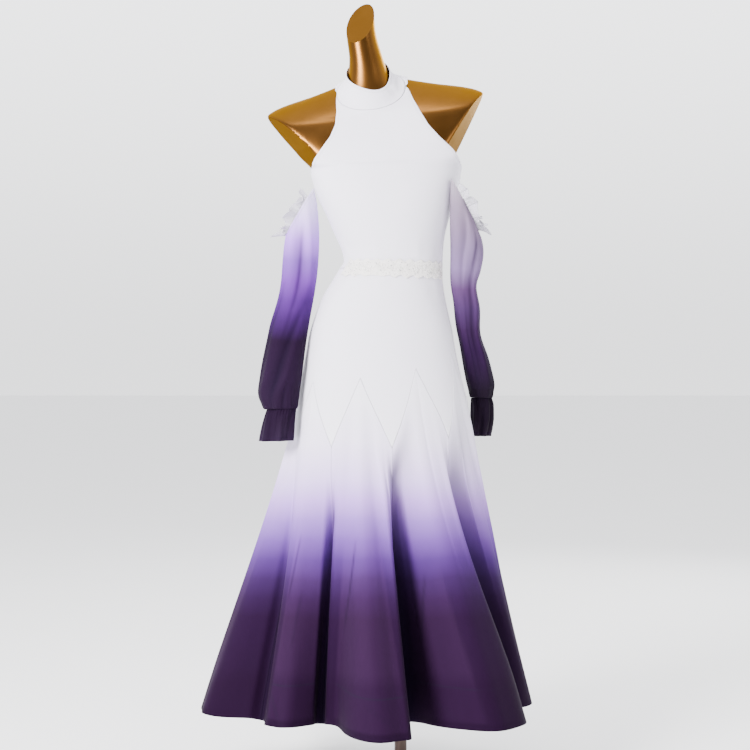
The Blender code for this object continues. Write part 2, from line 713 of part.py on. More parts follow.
def skirt_point(number, share, drop):
    """Middle of the skirt's cloth at a share across a gore and a share down its length."""
    if share < 0:
        number, share = (number - 1) % len(GORES), share + 1
    elif share > 1:
        number, share = (number + 1) % len(GORES), share - 1
    start, end, slope = gore_column(number, share)
    t = drop
    return (
        start * (2 * t**3 - 3 * t**2 + 1)
        + slope * (t**3 - 2 * t**2 + t)
        + end * (3 * t**2 - 2 * t**3)
        + (end - start) * (t**3 - t**2)
    )


def skirt_normal(number, share, drop):
    """Outward direction of the skirt's cloth, shared by the two gores at a seam."""
    step = 0.02
    around = skirt_point(number, share + step, drop) - skirt_point(number, share - step, drop)
    low, high = min(drop + step, 1.0), max(drop - step, 0.0)
    upwards = skirt_point(number, share, high) - skirt_point(number, share, low)
    return around.cross(upwards).normalized()


def make_gores(material):
    """Nine gores, each a flute between two valleys, hung from the zigzag edge."""
    for number in range(len(GORES)):
        points, normals = [], []
        for r in range(GORE_ROWS + 1):
            drop = 1 - r / GORE_ROWS
            shares = [c / GORE_COLUMNS for c in range(GORE_COLUMNS + 1)]
            points.append([skirt_point(number, share, drop) for share in shares])
            normals.append([skirt_normal(number, share, drop) for share in shares])
        for c in range(GORE_COLUMNS + 1):
            angle = GORES[number].seam + GORE_SPAN * c / GORE_COLUMNS
            normals[-1][c] = body_frame(station_at(zigzag_z(angle)), angle)[0]
        points = pull_edges(points, SEAM_GAP / 2, (0, ZIGZAG_GAP / 2), closed=False)
        cloth_wall(f"gore_{number + 1}", points, normals, CLOTH / 2, -CLOTH / 2, material)


def ring_axes(ring, side):
    """Centre of a ring and its outward, forward and downward vectors."""
    near = Vector((ring.x_in, ring.y_in, ring.z_in))
    far = Vector((ring.x_out, ring.y_out, ring.z_out))
    across = (far - near) / 2
    forward = Vector((0, -1, 0))
    forward -= across * (forward.dot(across) / across.dot(across))
    forward = forward.normalized() * ring.depth
    downward = across.cross(forward).normalized() * side
    return (near + far) / 2, across, forward, downward


def fold_depth(folds, station, angle):
    """How deep the long folds press in at a place on a sleeve."""
    depth = 0.0
    for fold in folds:
        run = (station - fold.ring_top) / (fold.ring_end - fold.ring_top)
        if not 0 < run < 1:
            continue
        middle = fold.angle_top + (fold.angle_end - fold.angle_top) * run
        away = (angle - middle + 180) % 360 - 180
        profile = math.sin(math.pi * run) ** FOLD_FULLNESS * math.exp(-((away / fold.width) ** 2))
        depth += fold.depth * profile
    return depth


def tube_point(rings, side, station, angle, inset):
    """Point on a tube of rings, moved in towards its centre by the inset."""
    centre, across, forward, _ = ring_axes(row_at(rings, station), side)
    turn = math.radians(angle)
    arm = across * math.cos(turn) + forward * math.sin(turn)
    return centre + arm - arm.normalized() * inset


def sleeve_point(side, station, angle):
    """Middle of a sleeve's cloth, with gathers at both ends and its long folds."""
    rings = SLEEVE_LEFT if side > 0 else SLEEVE_RIGHT
    folds = SLEEVE_LEFT_FOLDS if side > 0 else SLEEVE_RIGHT_FOLDS
    last = len(rings) - 1
    turn = math.radians(angle)
    top = TOP_GATHER_DEPTH * math.exp(-station * TOP_GATHER_FADE)
    top *= 1 - math.cos(TOP_GATHERS * turn)
    wrist = WRIST_GATHER_DEPTH * math.exp((station - last) * WRIST_GATHER_FADE)
    wrist *= 1 - math.cos(WRIST_GATHERS * turn)
    return tube_point(rings, side, station, angle, fold_depth(folds, station, angle) + top + wrist)


def cuff_point(side, station, angle):
    """Middle of the cloth below the wrist, fluted more towards its hem."""
    rings = CUFF_LEFT if side > 0 else CUFF_RIGHT
    last = len(rings) - 1
    turn = math.radians(angle)
    wrist = WRIST_GATHER_DEPTH * (1 - station / last) * (1 - math.cos(WRIST_GATHERS * turn))
    flute = CUFF_FLUTE_DEPTH * station / last
    flute *= 1 - math.cos(CUFF_FLUTES * turn + CUFF_FLUTE_TURN)
    return tube_point(rings, side, station, angle, wrist + flute)


def frill_point(side, share_up, angle):
    """Middle of the frill's cloth: it stands off the sleeve's top edge and waves in and out."""
    rings = SLEEVE_LEFT if side > 0 else SLEEVE_RIGHT
    foot = sleeve_point(side, 0, angle)
    centre, _, _, downward = ring_axes(rings[0], side)
    outwards = (foot - centre).normalized()
    phase = math.radians(angle) * FRILL_WAVES
    wave = math.sin(phase) + FRILL_SLOW_WAVE * math.sin(FRILL_SLOW_RATE * phase + 1)
    height = FRILL_HEIGHT * (1 + FRILL_HEIGHT_WAVE * math.sin(FRILL_HEIGHT_RATE * phase + 2))
    rise = FRILL_LIFT + height * (1 - FRILL_SPREAD) * share_up
    out = height * FRILL_SPREAD * share_up + FRILL_WAVE_DEPTH * wave * share_up
    return foot - downward * rise + outwards * out


def surface_normal(surface, u, v, step_u, flip, step_v=2):
    """Outward direction of a surface given as a function of two numbers."""
    along = surface(u + step_u, v) - surface(u - step_u, v)
    around = surface(u, v + step_v) - surface(u, v - step_v)
    return along.cross(around).normalized() * flip


def tube_wall(name, surface, last, rows, columns, flip, material):
    """Closed ring of cloth along a tube of rings."""
    points, normals = [], []
    for r in range(rows + 1):
        station = last * r / rows
        angles = [360 * c / columns for c in range(columns)]
        points.append([surface(station, angle) for angle in angles])
        normals.append([surface_normal(surface, station, a, 0.05, flip) for a in angles])
    points = pull_edges(points, 0, (SEAM_GAP / 2, SEAM_GAP / 2), closed=True)
    cloth_wall(name, points, normals, CLOTH / 2, -CLOTH / 2, material, closed=True)


def make_sleeve(side, white, dark):
    """Bishop sleeve, the flounce below its wrist and the frill round its top."""
    word = "left" if side > 0 else "right"
    sleeve_rings = len(SLEEVE_LEFT) - 1
    cuff_rings = len(CUFF_LEFT) - 1

    def sleeve(station, angle):
        return sleeve_point(side, station, angle)

    def cuff(station, angle):
        return cuff_point(side, station, angle)

    tube_wall(f"sleeve_{word}", sleeve, sleeve_rings, sleeve_rings, SLEEVE_COLUMNS, side, dark)
    tube_wall(f"sleeve_cuff_{word}", cuff, cuff_rings, cuff_rings, SLEEVE_COLUMNS, side, dark)

    def frill(share_up, angle):
        return frill_point(side, share_up, angle)

    points, normals = [], []
    for r in range(FRILL_ROWS + 1):
        start, end = FRILL_TURNS[word]
        turn = (end - start) / FRILL_COLUMNS
        angles = [start + turn * c for c in range(FRILL_COLUMNS + 1)]
        share_up = r / FRILL_ROWS
        points.append([frill(share_up, angle) for angle in angles])
        normals.append([surface_normal(frill, share_up, a, 0.1, -side) for a in angles])
    points = pull_edges(points, 0, (SEAM_GAP, 0), closed=False)
    cloth_wall(f"sleeve_ruffle_{word}", points, normals, CLOTH / 2, -CLOTH / 2, white)


def clear_scene():
    """Removes what a new file holds and makes the dress's collection."""
    for obj in list(bpy.data.objects):
        bpy.data.objects.remove(obj, do_unlink=True)
    collection = bpy.data.collections.new(COLLECTION)
    bpy.context.scene.collection.children.link(collection)


def main():
    clear_scene()
    make_dress_form(make_material("gold_form", GOLD))
    make_stand(make_material("stand_metal", POLE_METAL))
    white = make_material("white_crepe", WHITE_CREPE)
    make_bodice(white)
    make_collar(white, make_material("button_cloth", WHITE_CREPE))
    make_waist_trim(make_material("trim", TRIM_WHITE))
    make_yoke(white)
    make_gores(make_material("skirt_cloth", LILAC_CREPE))
    frill = make_material("frill_cloth", WHITE_FRILL)
    sleeve = make_material("sleeve_cloth", AUBERGINE)
    for side in (-1, 1):
        make_sleeve(side, frill, sleeve)


main()
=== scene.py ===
"""Looks of the ballroom dance dress: fine cloth, dyed crepe, lace, stones and a gold form.

Metres, +Z up. The dress faces -Y, and left and right are the wearer's own, so left is +X.
Angles round the body are measured from the front, positive towards the wearer's left.
Stations are heights along a table: station 4.5 is halfway from row 4 to row 5.
"""

import functools
import math
import random
from collections import namedtuple

import bmesh
import bpy
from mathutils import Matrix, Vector, noise


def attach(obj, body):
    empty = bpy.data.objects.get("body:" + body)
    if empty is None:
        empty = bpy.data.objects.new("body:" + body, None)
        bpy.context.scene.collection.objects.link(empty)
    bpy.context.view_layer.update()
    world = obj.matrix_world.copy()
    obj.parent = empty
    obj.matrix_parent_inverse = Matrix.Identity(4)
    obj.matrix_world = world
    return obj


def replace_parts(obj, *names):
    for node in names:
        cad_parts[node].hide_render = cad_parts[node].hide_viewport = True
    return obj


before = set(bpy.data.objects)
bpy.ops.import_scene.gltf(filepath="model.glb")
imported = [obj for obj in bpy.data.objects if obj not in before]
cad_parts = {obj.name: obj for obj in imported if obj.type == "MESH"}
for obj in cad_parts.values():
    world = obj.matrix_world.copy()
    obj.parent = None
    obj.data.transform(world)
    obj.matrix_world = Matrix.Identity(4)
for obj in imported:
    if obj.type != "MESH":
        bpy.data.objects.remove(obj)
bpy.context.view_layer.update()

EASE = 0.0014
CLOTH = 0.0015
CLOTH_MIDDLE = EASE + CLOTH / 2
CLOTH_OUTSIDE = EASE + CLOTH
SHELL = 0.0009
# The fold mark carries the painted shade of the skirt's valleys and the sleeves' hollows
MARKS = ("seam", "hem", "sheer", "ghost", "fold")
BISECTION_STEPS = 30
# Steps over which directions on the body and on the skirt are measured
STATION_STEP = 0.02
SHARE_STEP = 0.02
# Cloth over the body: one station weighs as much as these degrees, and no fold sinks deeper
DEGREES_A_STATION = 12
FOLD_FLOOR = -0.0012
CLOTH_UNEVEN = 0.0005
CLOTH_UNEVEN_RATE = 22


def table(kind, *rows):
    """Rows of a table, each a named tuple of one kind."""
    return [kind(*row) for row in rows]


# How bright the surround is before the dress, behind it, and at the horizon
WORLD_FRONT = 0.70
WORLD_BACK = 3.6
WORLD_HORIZON = 0.60

# Body surface, bottom to top. Each row is a closed ring of points round (centre, 0).
# front and back are depths, rise_x and rise_y tilt the ring, square fills out its corners.
Section = namedtuple("Section", "z centre half_width front back rise_x rise_y square")
FIGURE = table(
    Section,
    (0.700, -0.0360, 0.1890, 0.137, 0.137, 0.000, 0.00, 0.00),
    (0.750, -0.0365, 0.1865, 0.125, 0.127, 0.000, 0.00, 0.01),
    (0.789, -0.0376, 0.1820, 0.117, 0.120, 0.000, 0.00, 0.02),
    (0.832, -0.0398, 0.1747, 0.112, 0.117, 0.000, 0.00, 0.02),
    (0.875, -0.0414, 0.1656, 0.108, 0.113, 0.000, 0.00, 0.03),
    (0.918, -0.0421, 0.1570, 0.107, 0.110, 0.000, 0.00, 0.03),
    (0.961, -0.0414, 0.1494, 0.104, 0.104, 0.000, 0.00, 0.03),
    (1.004, -0.0387, 0.1370, 0.098, 0.093, 0.000, 0.00, 0.03),
    (1.036, -0.0350, 0.1270, 0.093, 0.083, 0.000, 0.00, 0.03),
    (1.068, -0.0274, 0.1150, 0.088, 0.073, 0.000, 0.00, 0.03),
    (1.090, -0.0215, 0.1080, 0.085, 0.068, 0.000, 0.00, 0.03),
    (1.107, -0.0161, 0.1037, 0.085, 0.066, 0.000, 0.00, 0.03),
    (1.133, -0.0178, 0.1065, 0.093, 0.068, 0.000, 0.00, 0.03),
    (1.165, -0.0226, 0.1155, 0.105, 0.074, 0.000, 0.00, 0.05),
    (1.208, -0.0269, 0.1306, 0.117, 0.082, 0.000, 0.00, 0.07),
    (1.251, -0.0312, 0.1467, 0.119, 0.089, 0.000, 0.00, 0.08),
    (1.283, -0.0312, 0.1564, 0.110, 0.093, 0.000, 0.00, 0.06),
    (1.312, -0.0320, 0.1640, 0.102, 0.092, 0.030, 0.10, 0.05),
    (1.345, -0.0380, 0.1950, 0.093, 0.087, 0.060, 0.35, 0.05),
    (1.392, -0.0470, 0.2280, 0.083, 0.078, 0.100, 0.55, 0.06),
    (1.425, -0.0530, 0.2450, 0.070, 0.066, 0.105, 0.65, 0.07),
    (1.446, -0.0545, 0.2280, 0.061, 0.056, 0.105, 0.70, 0.07),
    (1.460, -0.0570, 0.1550, 0.058, 0.052, 0.105, 0.80, 0.05),
    (1.4755, -0.0630, 0.0730, 0.058, 0.052, 0.100, 0.90, 0.03),
    (1.495, -0.0670, 0.0520, 0.052, 0.048, 0.080, 0.85, 0.02),
    (1.515, -0.0707, 0.0440, 0.045, 0.045, 0.060, 0.80, 0.02),
    (1.550, -0.0753, 0.0376, 0.042, 0.042, 0.050, 0.60, 0.02),
    (1.600, -0.0850, 0.0340, 0.041, 0.041, 0.050, 0.40, 0.02),
    (1.660, -0.0885, 0.0335, 0.041, 0.041, 0.050, 0.30, 0.02),
    (1.720, -0.0905, 0.0330, 0.041, 0.041, 0.050, 0.30, 0.02),
)
HIP_STATION = 5
WAIST_SEAM = 10
NECK_SEAM = 23
COLLAR_TOP = 25
FIGURE_TOP = 29

# Flat arm ends of the form: where the cut lies at each height, and how it turns with depth
ArmEnd = namedtuple("ArmEnd", "z right left")
ARM_ENDS = table(
    ArmEnd,
    (1.300, -0.1900, 0.1280),
    (1.3456, -0.2197, 0.1120),
    (1.419, -0.2810, 0.1500),
    (1.467, -0.3100, 0.1740),
    (1.560, -0.3500, 0.2300),
)
ARM_END_TURN = {"right": -0.39, "left": 0.23}
ARM_END_ROUNDING = 0.0100
NECK_CUT_POINT = Vector((-0.0978, -0.0400, 1.5650))
NECK_CUT_NORMAL = Vector((-0.392, -0.705, 0.591))
FormBase = namedtuple("FormBase", "z scale")
FORM_BASE = table(
    FormBase,
    (0.797, 0.62),
    (0.803, 0.76),
    (0.820, 0.88),
    (0.845, 0.955),
    (0.880, 0.995),
)
FORM_INSET = 0.0024
FORM_COLUMNS = 144
FORM_STEPS = 9
# Stations between which the form's rings are doubled
FORM_FINE_FROM = 17
FORM_FINE_TO = 23
FORM_SHARP_ANGLE = 38
FORM_RIM_ANGLE = 50
FORM_RIM_WIDTH = 0.0012

# Halter armholes, seen from the front: how far each side of the bodice reaches at a height
Armhole = namedtuple("Armhole", "z right left")
ARMHOLE = table(
    Armhole,
    (1.255, -0.215, 0.170),
    (1.280, -0.1930, 0.1370),
    (1.300, -0.1910, 0.1335),
    (1.320, -0.1810, 0.1225),
    (1.340, -0.1665, 0.1080),
    (1.365, -0.1490, 0.0800),
    (1.390, -0.1390, 0.0580),
    (1.420, -0.1360, 0.0405),
    (1.450, -0.1375, 0.0260),
    (1.480, -0.1400, 0.0150),
)
BODICE_COLUMNS = 96
BODICE_STEPS = 10

# Collar: its top edge dips towards the front
COLLAR_DIP = 0.55
COLLAR_DIP_ANGLE = 35
COLLAR_DIP_WIDTH = 50
COLLAR_COLUMNS = 144
COLLAR_ROWS = 24
COLLAR_SHELL = 0.0016
COLLAR_CLOTH = 0.0020
BUTTON_RADIUS = 0.006
BUTTON_THICKNESS = 0.004
BUTTON_ANGLE = 172
BUTTON_STATIONS = [23.55, 24.45]
BUTTON_COLUMNS = 48
# Share of the button's radius and of half its thickness, from under the rim to the middle
BUTTON_PROFILE = [
    (0.55, -1.00), (0.86, -0.96), (0.97, -0.78), (1.00, -0.50), (0.97, -0.18), (0.90, 0.12),
    (0.78, 0.42), (0.62, 0.66), (0.44, 0.84), (0.24, 0.96), (0.10, 0.995), (0.01, 1.00),
]

# Waist trim: where the lace lies over the front of the waist seam
TRIM_FROM = -58
TRIM_TO = 77
TRIM_TOP = 1.108
TRIM_BOTTOM = 1.073
TRIM_DROP = 0.006
TRIM_EDGE_WAVE = 0.0028
TRIM_EDGE_WAVES = 11
TRIM_EDGE_DRIFT = 5
TRIM_LIFT = 0.0012
TRIM_LACE_COLUMNS = 330
TRIM_LACE_ROWS = 26
TRIM_SPRAYS = 15
TRIM_LEAVES = 5
TRIM_STRANDS = 2
STRAND_STEPS = 150
STRAND_HALF_WIDTH = 0.0008
TRIM_THREAD_LIFT = 0.0006
LACE_THICKNESS = 0.0008
STONE_LIFT = 0.0014
LEAF_SEGMENTS = 8
BEAD_COUNT = 230
STONE_COUNT = 46
TRIM_LENGTH = 0.300
TRIM_HEIGHT = 0.035

# Skirt: one row for each gore, from its seam on the wearer's right to the next row's seam.
# seam and top are angles on the hips, and the z after each is where the zigzag turns there.
# hem_seam is the seam's angle at the hem, hem_in and hem_out are radii in the valley and on
# the flute, peak places the flute's crest between the seams, hold keeps it to the hips.
Gore = namedtuple("Gore", "seam seam_z top_z hem_seam hem_in hem_out peak hold")
GORES = table(
    Gore,
    (-75, 0.722, 0.850, -54, 0.285, 0.300, 0.45, 1.0),
    (-35, 0.714, 0.858, -24, 0.235, 0.352, 0.66, 1.0),
    (5, 0.713, 0.878, 21, 0.225, 0.384, 0.60, 1.0),
    (45, 0.733, 0.910, 72, 0.310, 0.352, 0.50, 1.5),
    (85, 0.745, 0.900, 108, 0.280, 0.348, 0.50, 1.4),
    (125, 0.740, 0.885, 142, 0.255, 0.350, 0.50, 1.1),
    (165, 0.725, 0.870, 177, 0.250, 0.345, 0.50, 1.0),
    (205, 0.715, 0.862, 212, 0.250, 0.350, 0.50, 1.0),
    (245, 0.715, 0.855, 250, 0.275, 0.356, 0.62, 0.8),
)
GORE_SPAN = 40
GORE_COLUMNS = 72
GORE_ROWS = 124
FLUTE_BREADTH = 4
HEM_CENTRE = -0.072
HEM_Z = 0.1625
HEM_BAND = 0.082
HEM_BORDER = 0.013
HEM_STITCH = 0.006
YOKE_ROWS = 70
YOKE_RIGHT_SIDE = -95
YOKE_LEFT_SIDE = 85
YOKE_CENTRE_BACK = 175

# Soft folds in the skirt, each within one gore. share runs across the gore, and the fold
# starts at drop_start down its length and reaches its full depth at the hem.
# A positive depth is a ridge, a negative one a trough.
SkirtFold = namedtuple("SkirtFold", "gore share_top share_hem drop_start depth width")
SKIRT_FOLDS = table(
    SkirtFold,
    (1, 0.30, 0.24, 0.25, -0.0050, 0.10),
    (1, 0.62, 0.70, 0.35, 0.0040, 0.09),
    (2, 0.28, 0.20, 0.30, -0.0060, 0.09),
    (2, 0.50, 0.44, 0.18, 0.0045, 0.10),
    (2, 0.78, 0.82, 0.40, -0.0045, 0.07),
    (3, 0.25, 0.30, 0.20, -0.0055, 0.09),
    (3, 0.55, 0.52, 0.45, -0.0040, 0.08),
    (3, 0.76, 0.84, 0.30, 0.0040, 0.08),
    (4, 0.34, 0.26, 0.25, 0.0040, 0.08),
    (4, 0.66, 0.72, 0.38, -0.0055, 0.09),
    (5, 0.40, 0.33, 0.30, -0.0050, 0.09),
    (5, 0.70, 0.78, 0.42, 0.0040, 0.08),
    (6, 0.30, 0.22, 0.22, 0.0045, 0.09),
    (6, 0.58, 0.60, 0.36, -0.0050, 0.08),
    (7, 0.36, 0.40, 0.28, -0.0055, 0.09),
    (7, 0.68, 0.76, 0.40, 0.0045, 0.08),
    (8, 0.28, 0.22, 0.33, 0.0040, 0.08),
    (8, 0.60, 0.66, 0.24, -0.0050, 0.10),
    (9, 0.36, 0.30, 0.26, -0.0055, 0.09),
    (9, 0.66, 0.74, 0.38, 0.0040, 0.08),
)
HEM_RIPPLE = 0.0016

# Valleys along the gore seams. Seen from outside, the cloth on the seam's right-hand gore falls
# steeply into the valley and leans over it, and the next gore rises out of it slowly.
# back is how far the next gore leans over the valley from its other side, and reach how far
# from the seam both lean most, at the hem. dark is how strong the painted shade in the valley is,
# from dark_start to dark_grown down the skirt, over the width shade.
Valley = namedtuple(
    "Valley",
    "seam start grown depth hem_depth steep slow lean back reach dark dark_start dark_grown shade",
)
VALLEYS = table(
    Valley,
    (1, 0.10, 0.60, 0.016, 0.020, 0.0080, 0.030, 0.006, 0.000, 0.024, 0.50, 0.28, 0.62, 0.010),
    (2, 0.08, 0.40, 0.030, 0.034, 0.0065, 0.018, 0.004, 0.032, 0.040, 0.95, 0.12, 0.31, 0.0085),
    (3, 0.02, 0.26, 0.040, 0.046, 0.0070, 0.030, 0.047, 0.000, 0.076, 0.92, 0.00, 0.13, 0.021),
    (4, 0.00, 0.26, 0.030, 0.018, 0.0080, 0.034, 0.018, 0.000, 0.030, 0.82, 0.00, 0.16, 0.034),
    (5, 0.12, 0.60, 0.016, 0.020, 0.0090, 0.030, 0.006, 0.004, 0.024, 0.60, 0.26, 0.60, 0.012),
    (6, 0.08, 0.50, 0.022, 0.028, 0.0080, 0.028, 0.020, 0.000, 0.045, 0.80, 0.16, 0.46, 0.010),
    (7, 0.14, 0.55, 0.018, 0.026, 0.0090, 0.032, 0.004, 0.020, 0.036, 0.70, 0.24, 0.56, 0.012),
    (8, 0.06, 0.48, 0.024, 0.026, 0.0080, 0.026, 0.026, 0.000, 0.055, 0.85, 0.12, 0.42, 0.010),
    (9, 0.12, 0.58, 0.018, 0.024, 0.0090, 0.030, 0.010, 0.004, 0.030, 0.65, 0.24, 0.58, 0.011),
)

# Share of a valley's reach at the skirt's top, and width of the lean as a share of its reach
LEAN_REACH_TOP = 0.35
LEAN_BREADTH = 0.8
# Width of the painted shade on a valley's steep side as a share, and the shade's strength at the
# skirt's top
STEEP_SHADE = 0.35
DARK_AT_TOP = 0.72

# Where the outer layer hangs clear of the one behind it, so that light comes through: from one
# share to another across the gore, at the panel's top and at the hem
Panel = namedtuple("Panel", "gore drop_top from_top to_top from_hem to_hem strength")
SHEER_PANELS = table(
    Panel,
    (1, 0.38, 0.55, 0.90, 0.38, 0.93, 1.0),
    (2, 0.40, 0.30, 0.60, 0.20, 0.70, 1.0),
    (3, 0.46, 0.10, 0.34, 0.05, 0.40, 0.9),
    (4, 0.55, 0.35, 0.60, 0.30, 0.70, 0.5),
    (5, 0.42, 0.25, 0.62, 0.20, 0.72, 0.9),
    (6, 0.44, 0.40, 0.78, 0.34, 0.86, 0.9),
    (7, 0.40, 0.22, 0.56, 0.16, 0.66, 1.0),
    (8, 0.46, 0.38, 0.70, 0.30, 0.80, 0.9),
    (9, 0.42, 0.28, 0.66, 0.22, 0.74, 0.8),
)
SHEER_EDGE = 0.015
SHEER_FADE = 0.16
GHOST_WIDTH = 0.0035
GHOST_FADE = 5

# Edges of the inner layer that show through as dark lines, each from one (share, drop) to another
Ghost = namedtuple("Ghost", "gore share drop end_share end_drop strength")
GHOSTS = table(
    Ghost,
    (1, 0.62, 0.42, 0.50, 0.66, 0.6),
    (1, 0.70, 0.58, 0.64, 0.78, 0.4),
    (1, 0.40, 0.90, 0.58, 0.985, 0.7),
    (2, 0.42, 0.44, 0.30, 0.72, 0.8),
    (2, 0.24, 0.89, 0.38, 0.99, 0.6),
    (2, 0.46, 0.91, 0.60, 0.97, 0.4),
    (3, 0.24, 0.50, 0.14, 0.74, 0.6),
    (3, 0.16, 0.90, 0.30, 0.98, 0.5),
    (5, 0.40, 0.46, 0.32, 0.74, 0.6),
    (6, 0.56, 0.48, 0.46, 0.72, 0.6),
    (7, 0.34, 0.44, 0.28, 0.70, 0.7),
    (7, 0.28, 0.90, 0.44, 0.98, 0.5),
    (8, 0.50, 0.50, 0.42, 0.78, 0.6),
    (9, 0.46, 0.46, 0.36, 0.70, 0.6),
)

# Drag lines and soft hollows on the bodice and yoke: both ends as (station, angle)
BodyFold = namedtuple("BodyFold", "station angle end_station end_angle depth width")
BODICE_FOLDS = table(
    BodyFold,
    (15.9, -84, 14.2, -58, -0.0031, 0.55),
    (16.1, 80, 14.6, 60, -0.0031, 0.55),
    (13.4, -70, 11.2, -44, -0.0017, 0.45),
    (13.0, 66, 11.0, 52, -0.0020, 0.45),
    (12.4, -20, 10.9, -14, 0.0013, 0.40),
    (12.6, 30, 10.9, 26, 0.0013, 0.40),
    (20.2, -40, 18.4, -58, -0.0017, 0.50),
    (20.0, 30, 18.2, 48, -0.0017, 0.50),
    (13.2, 130, 11.0, 140, -0.0017, 0.50),
    (13.6, -130, 11.2, -146, -0.0017, 0.50),
    (18.2, 150, 15.4, 158, 0.0014, 0.60),
)
YOKE_FOLDS = table(
    BodyFold,
    (9.6, -50, 7.2, -66, -0.0012, 0.55),
    (9.5, 40, 7.0, 58, -0.0014, 0.55),
    (9.4, -8, 7.8, -4, 0.0008, 0.45),
    (9.5, 130, 7.4, 120, -0.0013, 0.55),
    (9.5, -135, 7.2, -122, -0.0013, 0.55),
)

# Sleeves: rings from the open top down to the elastic wrist.
# Each ring runs from a point near the body to a point away from it, with its half depth.
Ring = namedtuple("Ring", "x_in y_in z_in x_out y_out z_out depth")
SLEEVE_RIGHT = table(
    Ring,
    (-0.1866, -0.006, 1.2655, -0.2460, -0.012, 1.1620, 0.026),
    (-0.1790, -0.008, 1.2280, -0.2490, -0.014, 1.1400, 0.030),
    (-0.1755, -0.012, 1.1750, -0.2520, -0.017, 1.1060, 0.032),
    (-0.1765, -0.016, 1.1060, -0.2560, -0.021, 1.0610, 0.032),
    (-0.1830, -0.022, 1.0410, -0.2640, -0.026, 1.0200, 0.033),
    (-0.1935, -0.030, 0.9850, -0.2790, -0.030, 0.9660, 0.035),
    (-0.2025, -0.040, 0.9280, -0.2910, -0.031, 0.9130, 0.038),
    (-0.2085, -0.050, 0.8750, -0.3000, -0.036, 0.8580, 0.040),
    (-0.2140, -0.055, 0.8360, -0.3030, -0.036, 0.8260, 0.040),
    (-0.2170, -0.060, 0.8110, -0.2950, -0.040, 0.8050, 0.033),
    (-0.2220, -0.063, 0.7950, -0.2820, -0.044, 0.7950, 0.022),
)
SLEEVE_LEFT = table(
    Ring,
    (0.1050, -0.086, 1.2755, 0.1630, -0.034, 1.1720, 0.026),
    (0.1040, -0.080, 1.2340, 0.1720, -0.028, 1.1510, 0.030),
    (0.1045, -0.058, 1.1830, 0.1755, -0.022, 1.1220, 0.032),
    (0.1065, -0.022, 1.1310, 0.1705, -0.012, 1.0850, 0.032),
    (0.1080, -0.012, 1.0610, 0.1630, -0.005, 1.0530, 0.030),
    (0.1140, 0.000, 1.0140, 0.1710, 0.000, 1.0080, 0.032),
    (0.1220, 0.012, 0.9590, 0.1720, 0.010, 0.9550, 0.033),
    (0.1320, 0.028, 0.9075, 0.1890, 0.020, 0.9030, 0.035),
    (0.1420, 0.044, 0.8580, 0.2040, 0.030, 0.8510, 0.036),
    (0.1490, 0.052, 0.8340, 0.2040, 0.040, 0.8300, 0.032),
    (0.1560, 0.056, 0.8160, 0.1980, 0.045, 0.8160, 0.022),
)
CUFF_RIGHT = table(
    Ring,
    (-0.2220, -0.063, 0.7935, -0.2820, -0.044, 0.7935, 0.022),
    (-0.2225, -0.063, 0.7800, -0.2885, -0.044, 0.7780, 0.027),
    (-0.2235, -0.064, 0.7530, -0.2960, -0.046, 0.7490, 0.030),
    (-0.2255, -0.065, 0.7260, -0.3005, -0.047, 0.7240, 0.031),
)
CUFF_LEFT = table(
    Ring,
    (0.1560, 0.056, 0.8145, 0.1980, 0.045, 0.8145, 0.022),
    (0.1545, 0.057, 0.8000, 0.2035, 0.045, 0.7980, 0.026),
    (0.1545, 0.059, 0.7670, 0.2040, 0.046, 0.7650, 0.028),
    (0.1570, 0.060, 0.7310, 0.1975, 0.047, 0.7310, 0.028),
)
SLEEVE_COLUMNS = 128
SLEEVE_ROWS = 160
CUFF_ROWS = 36

# Long folds pressed into the sleeves: angle round the sleeve at its two ends, in degrees from
# the outer edge towards the front, the rings that it runs between, and its depth and width.
# A negative depth stands out as a ridge.
Fold = namedtuple("Fold", "angle_top angle_end ring_top ring_end depth width")
SLEEVE_RIGHT_FOLDS = table(
    Fold,
    (150, 60, 3.6, 8.6, 0.0070, 24),
    (70, 100, 0.0, 4.5, 0.0050, 20),
    (250, 300, 1.0, 9.0, 0.0060, 26),
)
SLEEVE_LEFT_FOLDS = table(
    Fold,
    (120, 100, 0.0, 5.0, 0.0060, 20),
    (60, 75, 1.2, 9.0, 0.0050, 20),
    (290, 250, 1.0, 8.5, 0.0060, 26),
)
SLEEVE_RIGHT_CREASES = table(
    Fold,
    (112, 128, 0.2, 3.8, -0.0022, 9),
    (98, 84, 0.4, 6.0, 0.0020, 7),
    (136, 100, 4.4, 9.3, -0.0030, 10),
    (98, 70, 6.2, 9.7, 0.0022, 8),
    (60, 48, 5.2, 9.6, -0.0024, 9),
    (124, 112, 7.4, 9.8, 0.0020, 7),
    (36, 30, 3.0, 8.0, 0.0020, 10),
    (212, 230, 0.5, 7.0, 0.0026, 12),
    (276, 262, 3.5, 9.6, -0.0026, 11),
    (318, 330, 2.0, 8.5, 0.0022, 10),
)
SLEEVE_LEFT_CREASES = table(
    Fold,
    (96, 104, 0.2, 4.6, -0.0024, 9),
    (76, 60, 0.3, 3.4, 0.0022, 8),
    (132, 120, 3.8, 9.4, -0.0024, 10),
    (100, 88, 4.2, 9.6, 0.0020, 8),
    (48, 40, 2.6, 8.8, -0.0022, 9),
    (146, 138, 6.8, 9.8, 0.0018, 7),
    (218, 236, 0.6, 6.8, 0.0024, 12),
    (272, 280, 4.0, 9.6, -0.0024, 11),
    (322, 312, 2.2, 8.6, 0.0020, 10),
)
FOLD_FULLNESS = 0.7
